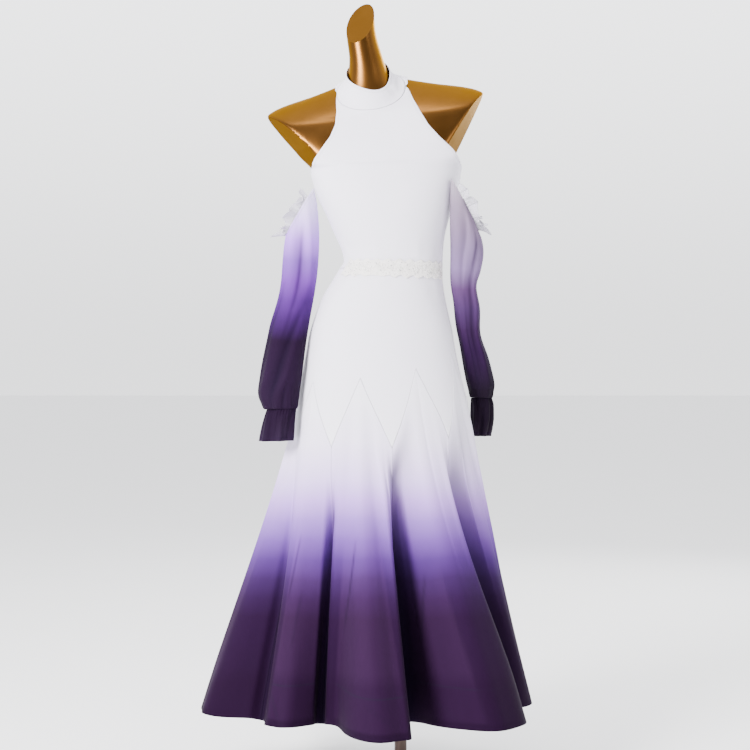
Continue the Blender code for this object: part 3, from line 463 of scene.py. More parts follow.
# Depths at which a fold and a crease get their full painted shade
FOLD_FULL_DARK = 0.007
CREASE_FULL_DARK = 0.0025
TOP_GATHERS = 6
TOP_GATHER_DEPTH = 0.0022
TOP_GATHER_FADE = 1.0
WRIST_GATHERS = 8
WRIST_GATHER_DEPTH = 0.0016
WRIST_GATHER_FADE = 0.8
FINE_GATHERS = 31
FINE_GATHER_DEPTH = 0.0011
PUFF_DROOP = 0.007
CUFF_FLUTES = 6
CUFF_FLUTE_DEPTH = 0.0042
CUFF_FLUTE_TURN = 0.6
CUFF_STITCH = 0.007
SLEEVE_CRUMPLE = 0.0016

# Frill round each sleeve's open top
FRILL_COLUMNS = 420
FRILL_ROWS = 14
FRILL_TURNS = {"left": (-95, 135), "right": (-128, 128)}
FRILL_WAVES = 11
FRILL_HEIGHT = 0.036
FRILL_SPREAD = 0.30
FRILL_SCALLOPS = 0.58
FRILL_WAVE_DEPTH = 0.0070
FRILL_SLOW_WAVE = 0.35
FRILL_SLOW_RATE = 0.5
FRILL_LIFT = 0.0014
# Shares of the frill's height: everywhere, with the lobes, and with the scallops of its edge
FRILL_HEIGHT_BASE = 0.32
FRILL_HEIGHT_LOBE = 0.22
FRILL_HEIGHT_SCALLOP = 0.42
FRILL_SCALLOP_TURN = 0.7
FRILL_SWAY = 0.0030
FRILL_GATHER = 0.0010
FRILL_CRUMPLE = 0.0010
FRILL_CURL = 0.0060


def catmull_rom(before, start, end, after, t):
    """Value at t on the smooth curve from start to end."""
    slope_start = (end - before) / 2
    slope_end = (after - start) / 2
    return (
        (2 * t**3 - 3 * t**2 + 1) * start
        + (t**3 - 2 * t**2 + t) * slope_start
        + (3 * t**2 - 2 * t**3) * end
        + (t**3 - t**2) * slope_end
    )


def row_at(table, station):
    """Row of a table at any station, all columns interpolated smoothly."""
    last = len(table) - 1
    station = min(max(station, 0.0), float(last))
    low = min(int(station), last - 1)
    rows = [table[min(max(low + step, 0), last)] for step in (-1, 0, 1, 2)]
    values = [catmull_rom(*column, station - low) for column in zip(*rows)]
    return type(table[0])(*values)


@functools.lru_cache(maxsize=None)
def figure_row(station):
    """Row of the body table at a station, kept for the points that share it."""
    return row_at(FIGURE, station)


def column_at(table, z, column):
    """Straight interpolation of one column of a table whose rows rise in z."""
    if z <= table[0].z:
        return getattr(table[0], column)
    for low, high in zip(table, table[1:]):
        if z <= high.z:
            share = (z - low.z) / (high.z - low.z)
            return getattr(low, column) * (1 - share) + getattr(high, column) * share
    return getattr(table[-1], column)


@functools.lru_cache(maxsize=None)
def station_at(z):
    """Station whose ring lies at a height, on the level rings below the shoulders."""
    low, high = 0.0, float(NECK_SEAM)
    for _ in range(BISECTION_STEPS):
        middle = (low + high) / 2
        if row_at(FIGURE, middle).z < z:
            low = middle
        else:
            high = middle
    return low


def body_point(station, angle):
    """Point of the body surface at a station and an angle in degrees, its arms not cut."""
    row = figure_row(station)
    turn = math.radians(angle)
    fullness = 1 + row.square * math.sin(2 * turn) ** 2
    depth = row.front if math.cos(turn) > 0 else row.back
    side = row.half_width * math.sin(turn) * fullness
    y = -depth * math.cos(turn) * fullness
    z = row.z + row.rise_x * side + row.rise_y * y
    return Vector((row.centre + side, y, z))


def body_rise(station, angle):
    """Vector up the body surface."""
    return body_point(station + STATION_STEP, angle) - body_point(station - STATION_STEP, angle)


def body_normal(station, angle):
    """Unit vector that points out of the body."""
    around = body_point(station, angle + 1) - body_point(station, angle - 1)
    upwards = body_rise(station, angle)
    return around.cross(upwards).normalized()


def over_body(station, angle, distance):
    """Point at a distance outside the body surface."""
    return body_point(station, angle) + body_normal(station, angle) * distance


def smooth_max(a, b, blend):
    """The larger of two numbers, with a round change from one to the other."""
    share = min(max(0.5 + 0.5 * (a - b) / blend, 0), 1)
    return b + (a - b) * share + blend * share * (1 - share)


def cut_arms(point):
    """Moves a point of the form that lies past an arm end onto that end's flat face."""
    if point.z > ARM_ENDS[0].z:
        right_end = column_at(ARM_ENDS, point.z, "right") + ARM_END_TURN["right"] * point.y
        left_end = column_at(ARM_ENDS, point.z, "left") + ARM_END_TURN["left"] * point.y
        point.x = smooth_max(point.x, right_end, ARM_END_ROUNDING)
        point.x = -smooth_max(-point.x, -left_end, ARM_END_ROUNDING)
    return point


def bump(value, centre, width):
    """Bell curve of height 1."""
    return math.exp(-(((value - centre) / width) ** 2))


def smoothstep(low, high, value):
    """0 below low, 1 above high and a smooth rise between."""
    t = min(max((value - low) / (high - low), 0), 1)
    return t * t * (3 - 2 * t)


# Materials

MIX_COLOR_INPUTS = (6, 7)


def set_inputs(tree, node, values):
    """Sets or links several inputs of a node, each from a value or another node's socket."""
    for key, value in values.items():
        if isinstance(value, bpy.types.NodeSocket):
            tree.links.new(value, node.inputs[key])
        else:
            node.inputs[key].default_value = value


def add_node(tree, kind, inputs=None, **settings):
    """New shader node with its settings and inputs."""
    made = tree.nodes.new("ShaderNode" + kind)
    for key, value in settings.items():
        setattr(made, key, value)
    set_inputs(tree, made, inputs or {})
    return made


def maths(tree, operation, first, second=0.0, third=0.0):
    """Output of a math node."""
    made = add_node(tree, "Math", {0: first, 1: second, 2: third}, operation=operation)
    return made.outputs[0]


def remap(tree, value, low, high, new_low=0.0, new_high=1.0):
    """Output of a smooth map range node."""
    inputs = {"Value": value, "From Min": low, "From Max": high}
    inputs.update({"To Min": new_low, "To Max": new_high})
    return add_node(tree, "MapRange", inputs, interpolation_type="SMOOTHSTEP").outputs[0]


def blend_colors(tree, factor, *colors):
    """Colour output of a mix of two colours, each a socket or three numbers."""
    inputs = {"Factor": factor}
    for place, color in zip(MIX_COLOR_INPUTS, colors):
        is_socket = isinstance(color, bpy.types.NodeSocket)
        inputs[place] = color if is_socket else (*color, 1)
    return add_node(tree, "Mix", inputs, data_type="RGBA").outputs[2]


def color_ramp(tree, factor, stops):
    """Colour output of a ramp through (position, colour) stops."""
    made = add_node(tree, "ValToRGB", {"Fac": factor})
    elements = made.color_ramp.elements
    while len(elements) < len(stops):
        elements.new(0.5)
    for element, (position, color) in zip(elements, stops):
        element.position = position
        element.color = (*color, 1)
    return made.outputs["Color"]


def noise_value(tree, vector, scale, detail=2.0, stretch=(1, 1, 1)):
    """Factor of a noise texture whose coordinates are stretched."""
    mapped = add_node(tree, "Mapping", {"Vector": vector, "Scale": stretch})
    inputs = {"Vector": mapped.outputs[0], "Scale": scale, "Detail": detail}
    return add_node(tree, "TexNoise", inputs).outputs[0]


def add_bump(tree, strength, distance, height, normal=None):
    """Normal output of a bump node, laid over an earlier normal."""
    inputs = {"Strength": strength, "Distance": distance, "Height": height}
    if normal is not None:
        inputs["Normal"] = normal
    return add_node(tree, "Bump", inputs).outputs[0]


def new_material(name):
    """Empty node material: its tree, its Principled shader and the point being shaded."""
    material = bpy.data.materials.new(name)
    material.use_nodes = True
    tree = material.node_tree
    position = add_node(tree, "NewGeometry").outputs["Position"]
    return material, tree, tree.nodes["Principled BSDF"], position


# Dye baths: height of each step, its linear colour, and the colour where light comes through
Dye = namedtuple("Dye", "height color sheer")
WHITE = (0.780, 0.755, 0.850)
SKIRT_DYE = table(
    Dye,
    (0.110, (0.0070, 0.0005, 0.0105), (0.0120, 0.0022, 0.0165)),
    (0.215, (0.0075, 0.0006, 0.0110), (0.0125, 0.0024, 0.0175)),
    (0.245, (0.0085, 0.0010, 0.0130), (0.0175, 0.0046, 0.0235)),
    (0.350, (0.0100, 0.0014, 0.0160), (0.0185, 0.0052, 0.0250)),
    (0.389, (0.0150, 0.0035, 0.0270), (0.0260, 0.0078, 0.0400)),
    (0.428, (0.0260, 0.0085, 0.0520), (0.0420, 0.0155, 0.0740)),
    (0.468, (0.0540, 0.0200, 0.1250), (0.0780, 0.0290, 0.1680)),
    (0.507, (0.1150, 0.0480, 0.2500), (0.1500, 0.0620, 0.3050)),
    (0.548, (0.2100, 0.1060, 0.4000), (0.2450, 0.1270, 0.4500)),
    (0.589, (0.3700, 0.2150, 0.6000), (0.4000, 0.2350, 0.6400)),
    (0.630, (0.5100, 0.3800, 0.7200), (0.5200, 0.3900, 0.7300)),
    (0.669, (0.6100, 0.5100, 0.7800), (0.6100, 0.5100, 0.7800)),
    (0.712, (0.7000, 0.6400, 0.8200), (0.7000, 0.6400, 0.8200)),
    (0.800, WHITE, WHITE),
)
# Dye of each sleeve; the left sleeve's table also holds painted shade
SLEEVE_DYE_AND_SHADE = {
    "right": table(
        Dye,
        (0.700, (0.0050, 0.0007, 0.0085), (0.0200, 0.0110, 0.0280)),
        (0.765, (0.0055, 0.0007, 0.0090), (0.0090, 0.0035, 0.0130)),
        (0.860, (0.0055, 0.0008, 0.0095), (0.0115, 0.0038, 0.0170)),
        (0.939, (0.0045, 0.0006, 0.0075), (0.0090, 0.0022, 0.0140)),
        (0.981, (0.0200, 0.0050, 0.0480), (0.0300, 0.0080, 0.0650)),
        (1.024, (0.0500, 0.0120, 0.1250), (0.0620, 0.0150, 0.1450)),
        (1.067, (0.1050, 0.0260, 0.2450), (0.1250, 0.0320, 0.2750)),
        (1.110, (0.1600, 0.0640, 0.3500), (0.1750, 0.0700, 0.3700)),
        (1.152, (0.3500, 0.1600, 0.6600), (0.3700, 0.1700, 0.6900)),
        (1.195, (0.5000, 0.3500, 0.7600), (0.5000, 0.3500, 0.7600)),
        (1.240, (0.6200, 0.5500, 0.8000), (0.6200, 0.5500, 0.8000)),
        (1.285, WHITE, WHITE),
    ),
    # Above the wrist the left sleeve is darker and greyer than the right: painted shade, as that
    # sleeve is lit less
    "left": table(
        Dye,
        (0.700, (0.0045, 0.0014, 0.0070), (0.0300, 0.0210, 0.0340)),
        (0.765, (0.0045, 0.0014, 0.0070), (0.0080, 0.0040, 0.0100)),
        (0.832, (0.0045, 0.0014, 0.0070), (0.0075, 0.0035, 0.0100)),
        (0.918, (0.0110, 0.0024, 0.0200), (0.0160, 0.0042, 0.0270)),
        (0.961, (0.0180, 0.0055, 0.0300), (0.0240, 0.0085, 0.0370)),
        (1.004, (0.0380, 0.0170, 0.0620), (0.0460, 0.0210, 0.0740)),
        (1.047, (0.0620, 0.0290, 0.0880), (0.0740, 0.0340, 0.1030)),
        (1.090, (0.1450, 0.0950, 0.2050), (0.1650, 0.1100, 0.2300)),
        (1.133, (0.1550, 0.1080, 0.2050), (0.1750, 0.1250, 0.2250)),
        (1.176, (0.1650, 0.1200, 0.1950), (0.1950, 0.1450, 0.2200)),
        (1.219, (0.1850, 0.1420, 0.2050), (0.2250, 0.1800, 0.2400)),
        (1.285, (0.2900, 0.2550, 0.3050), (0.3400, 0.3050, 0.3450)),
    ),
}
# Colour of the painted shade in the skirt's valleys and the sleeves' hollows
HOLLOW_SHADE_COLOR = (0.004, 0.0012, 0.0090)
LINE_COLOR = (0.01, 0.004, 0.016)
# How far the dye's level wanders, in metres
DYE_DRIFT = 0.030
# Distances over which a seam's line and a stitched line fade, and how dark each line gets
SEAM_LINE = (0.0002, 0.0013)
HEM_LINE = (0.0009, 0.0026)
SEAM_DARK = 0.26
GHOST_DARK = 0.62
WHITE_HEM_DARK = 0.10
PUCKER_REACH = (0.001, 0.009)
PEBBLE_SCALE = 1500.0
RIB_SCALE = 420.0
CREPE_ROUGHNESS = 0.82
# The frill's white cloth, greyed by a painted shade
FRILL_SHADED_WHITE = (0.500, 0.485, 0.545)


def dye_colors(tree, position, dyes, sideways):
    """Dip-dyed colour and the lighter one of sheer places.

    The bath's level follows the height, a little lower on deep flutes.
    """
    axes = add_node(tree, "SeparateXYZ", {0: position})
    depth = maths(tree, "ABSOLUTE", axes.outputs[1])
    height = maths(tree, "MULTIPLY_ADD", depth, -sideways, axes.outputs[2])
    drift = noise_value(tree, position, 9.0, 3.0, (1, 1, 0.35))
    height = maths(tree, "MULTIPLY_ADD", drift, DYE_DRIFT, height)
    height = maths(tree, "SUBTRACT", height, DYE_DRIFT / 2)
    low, high = dyes[0].height, dyes[-1].height
    span = {"Value": height, "From Min": low, "From Max": high, "To Min": 0.0, "To Max": 1.0}
    factor = add_node(tree, "MapRange", span).outputs[0]
    places = [(dye.height - low) / (high - low) for dye in dyes]
    deep = color_ramp(tree, factor, list(zip(places, [dye.color for dye in dyes])))
    light = color_ramp(tree, factor, list(zip(places, [dye.sheer for dye in dyes])))
    return deep, light


def crepe(name, dyes=None, sideways=0.0, sheen=0.12, white=WHITE):
    """Matt crepe: fine pebbled weave, seams and stitched hems, dyed or plain white.

    The mesh carries seam and hem, distances in metres from those edges, sheer, how much light
    comes through, ghost, how dark an inner edge shows through, and fold, how strong the painted
    shade of a valley or hollow is.
    """
    material, tree, shader, position = new_material(name)
    cut = add_node(tree, "UVMap", uv_map="cut").outputs[0]
    marks = {
        label: add_node(tree, "Attribute", attribute_name=label).outputs["Fac"]
        for label in MARKS
    }
    seam_line = remap(tree, marks["seam"], *SEAM_LINE, 1.0, 0.0)
    hem_line = remap(tree, maths(tree, "ABSOLUTE", marks["hem"]), *HEM_LINE, 1.0, 0.0)
    if dyes:
        deep, light = dye_colors(tree, position, dyes, sideways)
        streaks = noise_value(tree, cut, 42.0, 2.0, (1, 0.10, 1))
        through = maths(tree, "MULTIPLY", marks["sheer"], remap(tree, streaks, 0.2, 0.8, 0.8, 1.0))
        color = blend_colors(tree, through, deep, light)
        hem_line = maths(tree, "MULTIPLY", hem_line, marks["sheer"])
        color = blend_colors(tree, maths(tree, "MULTIPLY", marks["ghost"], 0.5), color, deep)
    else:
        mottle = noise_value(tree, position, 14.0, 3.0)
        color = blend_colors(tree, mottle, white, tuple(value * 0.975 for value in white))
    line = maths(tree, "MULTIPLY", hem_line, 1.0 if dyes else WHITE_HEM_DARK)
    line = maths(tree, "MAXIMUM", maths(tree, "MULTIPLY", seam_line, SEAM_DARK), line)
    line = maths(tree, "MAXIMUM", line, maths(tree, "MULTIPLY", marks["ghost"], GHOST_DARK))
    color = blend_colors(tree, line, color, LINE_COLOR)
    # Painted shade in valleys and hollows, from the fold mark
    color = blend_colors(tree, marks["fold"], color, HOLLOW_SHADE_COLOR)
    pebble = noise_value(tree, cut, PEBBLE_SCALE, 2.0)
    wave = {"Vector": cut, "Scale": RIB_SCALE, "Distortion": 1.5}
    ribs = add_node(tree, "TexWave", wave).outputs[1]
    weave = maths(tree, "MULTIPLY_ADD", ribs, 0.35, pebble)
    normal = add_bump(tree, 0.35, 0.0002, weave)
    normal = add_bump(tree, 0.25, 0.0016, noise_value(tree, position, 38.0, 3.0), normal)
    near_seam = remap(tree, marks["seam"], *PUCKER_REACH, 1.0, 0.0)
    pucker = maths(tree, "MULTIPLY", noise_value(tree, cut, 260.0, 1.0), near_seam)
    normal = add_bump(tree, 0.5, 0.0007, maths(tree, "SUBTRACT", pucker, seam_line), normal)
    values = {"Base Color": color, "Roughness": CREPE_ROUGHNESS, "Normal": normal}
    values.update({"Sheen Weight": sheen, "Sheen Roughness": 0.45})
    values["Specular IOR Level"] = 0.07 if dyes else 0.2
    set_inputs(tree, shader, values)
    return material


def gold_finish():
    """Polished copper gold coating with faint streaks of wear."""
    material, tree, shader, position = new_material("polished_gold")
    mottle = noise_value(tree, position, 18.0, 4.0)
    color = blend_colors(tree, mottle, (0.108, 0.046, 0.011), (0.138, 0.061, 0.016))
    scuffs = noise_value(tree, position, 26.0, 3.0, (1, 1, 0.3))
    roughness = remap(tree, scuffs, 0.35, 0.75, 0.30, 0.36)
    normal = add_bump(tree, 0.06, 0.004, noise_value(tree, position, 7.0, 1.0))
    values = {"Base Color": color, "Metallic": 1.0, "Roughness": roughness, "Normal": normal}
    values["Specular Tint"] = (0.85, 0.66, 0.42, 1)
    set_inputs(tree, shader, values)
    return material


def stand_finish():
    """Brown-grey brushed metal."""
    material, tree, shader, position = new_material("brushed_stand")
    grain = noise_value(tree, position, 90.0, 4.0, (1, 1, 0.04))
    color = blend_colors(tree, grain, (0.055, 0.038, 0.033), (0.105, 0.078, 0.068))
    roughness = remap(tree, grain, 0.3, 0.7, 0.32, 0.46)
    normal = add_bump(tree, 0.15, 0.0005, grain)
    values = {"Base Color": color, "Metallic": 1.0, "Roughness": roughness, "Normal": normal}
    set_inputs(tree, shader, values)
    return material


def lace_finish():
    """Cream corded lace."""
    material, tree, shader, position = new_material("corded_lace")
    cells = add_node(tree, "TexVoronoi", {"Vector": position, "Scale": 620.0}).outputs["Distance"]
    color = blend_colors(tree, remap(tree, cells, 0.1, 0.6), (0.66, 0.62, 0.61), (0.86, 0.83, 0.82))
    normal = add_bump(tree, 0.6, 0.0006, cells)
    values = {"Base Color": color, "Roughness": 0.7, "Normal": normal, "Sheen Weight": 0.2}
    set_inputs(tree, shader, values)
    return material


def satin_finish():
    """Satin stitch of the leaves and stems."""
    material, tree, shader, _ = new_material("satin_stitch")
    cut = add_node(tree, "UVMap", uv_map="cut").outputs[0]
    threads = add_node(tree, "TexWave", {"Vector": cut, "Scale": 9.0, "Distortion": 0.6}).outputs[1]
    color = blend_colors(tree, threads, (0.72, 0.70, 0.69), (0.88, 0.86, 0.84))
    normal = add_bump(tree, 0.4, 0.0003, threads)
    values = {"Base Color": color, "Roughness": 0.42, "Normal": normal, "Sheen Weight": 0.3}
    set_inputs(tree, shader, values)
    return material


def stone_finish():
    """Clear foiled stones."""
    material, tree, shader, position = new_material("clear_stone")
    flash = remap(tree, noise_value(tree, position, 300.0, 1.0), 0.35, 0.65)
    color = blend_colors(tree, flash, (0.45, 0.47, 0.52), (0.95, 0.95, 0.97))
    values = {"Base Color": color, "Metallic": 0.85, "Roughness": 0.08, "Coat Weight": 1.0}
    set_inputs(tree, shader, values)
    return material


def bead_finish():
    """Pearl-white seed beads."""
    material, tree, shader, position = new_material("pearl_bead")
    tint = noise_value(tree, position, 90.0, 1.0)
    color = blend_colors(tree, remap(tree, tint, 0.3, 0.7), (0.50, 0.47, 0.47), (0.82, 0.80, 0.78))
    set_inputs(tree, shader, {"Base Color": color, "Roughness": 0.22, "Coat Weight": 0.6})
    return material


# Building pieces


def add_object(name, mesh, material):
    """Smooth object of a mesh, on the root body."""
    mesh.materials.append(material)
    mesh.shade_smooth()
    obj = bpy.data.objects.new(name, mesh)
    bpy.context.scene.collection.objects.link(obj)
    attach(obj, "root")
    return obj


def object_from(bm, name, material):
    """Object of a bmesh, which is freed."""
    mesh = bpy.data.meshes.new(name)
    bm.to_mesh(mesh)
    bm.free()
    return add_object(name, mesh, material)


def make_shell(name, points, marks, material, thickness=SHELL, closed=False):
    """Thin cloth over a grid of points. marks gives (seam, hem, sheer, ghost, fold, u, v)."""
    rows, columns = len(points), len(points[0])
    faces = []
    for r in range(rows - 1):
        for c in range(columns if closed else columns - 1):
            n = (c + 1) % columns
            low, high = r * columns, (r + 1) * columns
            faces.append((low + c, low + n, high + n, high + c))
    mesh = bpy.data.meshes.new(name)
    mesh.from_pydata([point for row in points for point in row], [], faces)
    flat_marks = [mark for row in marks for mark in row]
    for place, label in enumerate(MARKS):
        layer = mesh.attributes.new(label, "FLOAT", "POINT")
        layer.data.foreach_set("value", [mark[place] for mark in flat_marks])
    uv = mesh.uv_layers.new(name="cut")
    for loop in mesh.loops:
        mark = flat_marks[loop.vertex_index]
        uv.data[loop.index].uv = mark[len(MARKS):]
    obj = add_object(name, mesh, material)
    if thickness:
        skin = obj.modifiers.new("Cloth thickness", "SOLIDIFY")
        skin.thickness = thickness
        skin.offset = 0
        skin.use_even_offset = False
    return obj


def fold_height(folds, station, angle):
    """How far the drag lines raise the cloth at a place of the body."""
    height = 0.0
    for fold in folds:
        run_s = fold.end_station - fold.station
        run_a = (fold.end_angle - fold.angle) / DEGREES_A_STATION
        off_s = station - fold.station
        off_a = ((angle - fold.angle + 180) % 360 - 180) / DEGREES_A_STATION
        length = run_s * run_s + run_a * run_a
        along = (off_s * run_s + off_a * run_a) / length
        if not -0.2 < along < 1.2:
            continue
        away = abs(off_s * run_a - off_a * run_s) / math.sqrt(length)
        if away < 3 * fold.width:
            height += fold.depth * bump(along, 0.45, 0.38) * bump(away, 0, fold.width)
    return height


def cloth_place(station, angle, folds):
    """Point of the cloth over the body, with its folds and a faint unevenness."""
    normal = body_normal(station, angle)
    point = body_point(station, angle)
    lift = CLOTH_MIDDLE + max(fold_height(folds, station, angle), FOLD_FLOOR)
    return point + normal * (lift + CLOTH_UNEVEN * noise.noise(point * CLOTH_UNEVEN_RATE))


def body_panel(node, grid, folds, material, borders, thickness=SHELL):
    """Cloth of a body node from a grid of (station, angle) pairs.

    borders says what each side is: bottom, top, start and end as "seam" or "hem".
    """
    points = [[cloth_place(s, a, folds) for s, a in row] for row in grid]
    rows, columns = len(grid), len(grid[0])
    marks = []
    across = [path_lengths(row) for row in points]
    level = [path_lengths([Vector((point.x, point.y, 0)) for point in row]) for row in points]
    up = [path_lengths([row[c] for row in points]) for c in range(columns)]
    for r in range(rows):
        line = []
        for c in range(columns):
            reach = {
                "bottom": up[c][r],
                "top": up[c][-1] - up[c][r],
                "start": across[r][c],
                "end": across[r][-1] - across[r][c],
            }
            seam = min([reach[key] for key, kind in borders.items() if kind == "seam"] + [1.0])
            hem = min([reach[key] for key, kind in borders.items() if kind == "hem"] + [1.0])
            sideways = level[r][c] - level[r][-1] / 2
            line.append((seam, hem - HEM_STITCH, 0.0, 0.0, 0.0, sideways, up[c][r]))
        marks.append(line)
    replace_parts(make_shell(node + "_cloth", points, marks, material, thickness), node)


def path_lengths(path):
    """Length along a row of points, from its first point to each."""
    lengths = [0.0]
    for before, after in zip(path, path[1:]):
        lengths.append(lengths[-1] + (after - before).length)
    return lengths


def spread(station, start, end, columns):
    """One row of (station, angle) pairs from one angle to another."""
    return [(station, start + (end - start) * c / columns) for c in range(columns + 1)]


def armhole_angle(station, side, back):
    """Angle at which a bodice panel ends: the side seam, or the armhole's edge above it."""
    column = "left" if side > 0 else "right"

    def beyond(angle):
        point = body_point(station, angle)
        return side * (point.x - column_at(ARMHOLE, point.z, column)) > 0

    outer = 90 * side
    if not beyond(outer):
        return outer
    inner = 180 * side if back else 0
    for _ in range(BISECTION_STEPS):
        middle = (outer + inner) / 2
        if beyond(middle):
            outer = middle
        else:
            inner = middle
    return outer


def make_form(material):
    """Smooth torso with flat arm ends, a rounded underside and a neck cut on a slant."""
    angles = [360 * c / FORM_COLUMNS for c in range(FORM_COLUMNS)]
    hip = row_at(FIGURE, HIP_STATION)
    rings = []
    last_base = len(FORM_BASE) - 1
    for r in range(last_base * FORM_STEPS + 1):
        base = row_at(FORM_BASE, r / FORM_STEPS)
        ring = []
        for angle in angles:
            point = over_body(HIP_STATION, angle, -FORM_INSET)
            x = hip.centre + (point.x - hip.centre) * base.scale
            ring.append(Vector((x, point.y * base.scale, base.z)))
        rings.append(ring)
    count = (FIGURE_TOP - HIP_STATION) * FORM_STEPS
    for r in range(count + 1):
        station = HIP_STATION + (FIGURE_TOP - HIP_STATION) * r / count
        if FORM_FINE_FROM < station < FORM_FINE_TO:
            extra = [station, station + 0.5 / FORM_STEPS]
        else:
            extra = [station]
        for place in extra:
            rings.append([cut_arms(over_body(place, a, -FORM_INSET)) for a in angles])
    bm = bmesh.new()
    made = [[bm.verts.new(point) for point in ring] for ring in rings]
    for low, high in zip(made, made[1:]):
        for c in range(FORM_COLUMNS):
            n = (c + 1) % FORM_COLUMNS
            bm.faces.new((low[c], low[n], high[n], high[c]))
    bm.faces.new(made[0][::-1])
    bm.faces.new(made[-1])
    cut = bmesh.ops.bisect_plane(
        bm,
        geom=bm.verts[:] + bm.edges[:] + bm.faces[:],
        plane_co=NECK_CUT_POINT,
        plane_no=NECK_CUT_NORMAL,
        clear_outer=True,
    )
    rim = [item for item in cut["geom_cut"] if isinstance(item, bmesh.types.BMEdge)]
    bmesh.ops.contextual_create(bm, geom=rim)
    obj = object_from(bm, "form_body", material)
    obj.data.set_sharp_from_angle(angle=math.radians(FORM_SHARP_ANGLE))
    rim_bevel = obj.modifiers.new("Rim", "BEVEL")
    rim_bevel.width = FORM_RIM_WIDTH
    rim_bevel.segments = 2
    rim_bevel.limit_method = "ANGLE"
    rim_bevel.angle_limit = math.radians(FORM_RIM_ANGLE)
    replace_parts(obj, "dress_form")


def make_bodice(material):
    """Halter front and two backs, from the waist seam to the neck seam."""
    steps = (NECK_SEAM - WAIST_SEAM) * BODICE_STEPS
    stations = [WAIST_SEAM + r / BODICE_STEPS for r in range(steps + 1)]
    half = BODICE_COLUMNS // 2
    front, left, right = [], [], []
    for station in stations:
        ends = [armhole_angle(station, side, back=False) for side in (-1, 1)]
        front.append(spread(station, ends[0], ends[1], BODICE_COLUMNS))
        left.append(spread(station, armhole_angle(station, 1, back=True), 180, half))
        right.append(spread(station, -180, armhole_angle(station, -1, back=True), half))
    for node, grid, start_edge, end_edge in (
        ("bodice_front", front, "hem", "hem"),
        ("bodice_back_left", left, "hem", "seam"),
        ("bodice_back_right", right, "seam", "hem"),
    ):
        borders = {"bottom": "seam", "top": "seam", "start": start_edge, "end": end_edge}
        body_panel(node, grid, BODICE_FOLDS, material, borders)


def collar_top(angle):
    """Station of the collar's top edge."""
    away = (angle - COLLAR_DIP_ANGLE) / COLLAR_DIP_WIDTH
    return COLLAR_TOP - COLLAR_DIP * math.exp(-(away**2))


def make_collar(material):
    """Standing collar with a slack crease beside the throat."""
    grid = []
    for r in range(COLLAR_ROWS + 1):
        row = []
        for c in range(COLLAR_COLUMNS + 1):
            angle = -180 + 360 * c / COLLAR_COLUMNS
            row.append((NECK_SEAM + (collar_top(angle) - NECK_SEAM) * r / COLLAR_ROWS, angle))
        grid.append(row)
    folds = [
        BodyFold(24.3, 46, 23.2, 66, -0.0024, 0.35),
        BodyFold(23.9, 60, 23.2, 84, 0.0014, 0.30),
        BodyFold(24.2, -60, 23.4, -84, -0.0010, 0.40),
    ]
    borders = {"bottom": "seam", "top": "hem", "start": "seam", "end": "seam"}
    body_panel("collar", grid, folds, material, borders, COLLAR_SHELL)


def zigzag_z(angle):
    """Height of the yoke's lower edge at an angle: down at each seam, up between seams."""
    turn = (angle - GORES[0].seam) % 360
    number = int(turn // GORE_SPAN)
    share = (turn - number * GORE_SPAN) / GORE_SPAN
    gore = GORES[number]
    following = GORES[(number + 1) % len(GORES)]
    if share < 0.5:
        return gore.seam_z + (gore.top_z - gore.seam_z) * share * 2
    return gore.top_z + (following.seam_z - gore.top_z) * (share * 2 - 1)


def make_yoke(material):
    """Hip yoke in three panels, from the zigzag edge up to the waist seam."""
    panels = [
        ("yoke_front", YOKE_RIGHT_SIDE, YOKE_LEFT_SIDE),
        ("yoke_back_left", YOKE_LEFT_SIDE, YOKE_CENTRE_BACK),
        ("yoke_back_right", YOKE_CENTRE_BACK, YOKE_RIGHT_SIDE + 360),
    ]
    borders = {"bottom": "seam", "top": "seam", "start": "seam", "end": "seam"}
    for node, start, end in panels:
        grid = []
        for r in range(YOKE_ROWS + 1):
            row = []
            for angle in range(start, end + 1):
                low = station_at(zigzag_z(angle))
                row.append((low + (WAIST_SEAM - low) * r / YOKE_ROWS, angle))
            grid.append(row)
        body_panel(node, grid, YOKE_FOLDS, material, borders)


def hem_point(number, share):
    """Point of the hem at a share of the way across a gore."""
    gore = GORES[number]
    following = GORES[(number + 1) % len(GORES)]
    hem_end = following.hem_seam
    if hem_end < gore.hem_seam:
        hem_end += 360
    angle = math.radians(gore.hem_seam + (hem_end - gore.hem_seam) * share)
    valley = gore.hem_in + (following.hem_in - gore.hem_in) * share
    crest = share ** (math.log(0.5) / math.log(gore.peak))
    swell = 1 - abs(math.cos(math.pi * crest)) ** FLUTE_BREADTH
    radius = valley + (gore.hem_out - valley) * swell
    return Vector((HEM_CENTRE + radius * math.sin(angle), -radius * math.cos(angle), HEM_Z))


@functools.lru_cache(maxsize=None)
def gore_column(number, share):
    """Curve of the skirt from the zigzag edge to the hem: its start, end and start slope."""
    gore = GORES[number]
    following = GORES[(number + 1) % len(GORES)]
    angle = gore.seam + GORE_SPAN * share
    station = station_at(zigzag_z(angle))
    start = over_body(station, angle, CLOTH_MIDDLE)
    end = hem_point(number, share)
    hold = gore.hold + (following.hold - gore.hold) * share
    slope = body_rise(station, angle).normalized() * -(end - start).length * hold
    return start, end, slope


def skirt_point(number, share, drop):
    """Middle of the skirt's cloth at a share across a gore and a share down its length."""
    if share < 0:
        number, share = (number - 1) % len(GORES), share + 1
    elif share > 1:
        number, share = (number + 1) % len(GORES), share - 1
    start, end, slope = gore_column(number, round(share, 5))
    t = drop
    return (
        start * (2 * t**3 - 3 * t**2 + 1)
        + slope * (t**3 - 2 * t**2 + t)
        + end * (3 * t**2 - 2 * t**3)
        + (end - start) * (t**3 - t**2)
    )


def skirt_normal(number, share, drop):
    """Outward direction of the skirt's cloth, shared by the two gores at a seam."""
    before, after = share - SHARE_STEP, share + SHARE_STEP
    around = skirt_point(number, after, drop) - skirt_point(number, before, drop)
    low, high = min(drop + SHARE_STEP, 1.0), max(drop - SHARE_STEP, 0.0)
    upwards = skirt_point(number, share, high) - skirt_point(number, share, low)
    return around.cross(upwards).normalized()


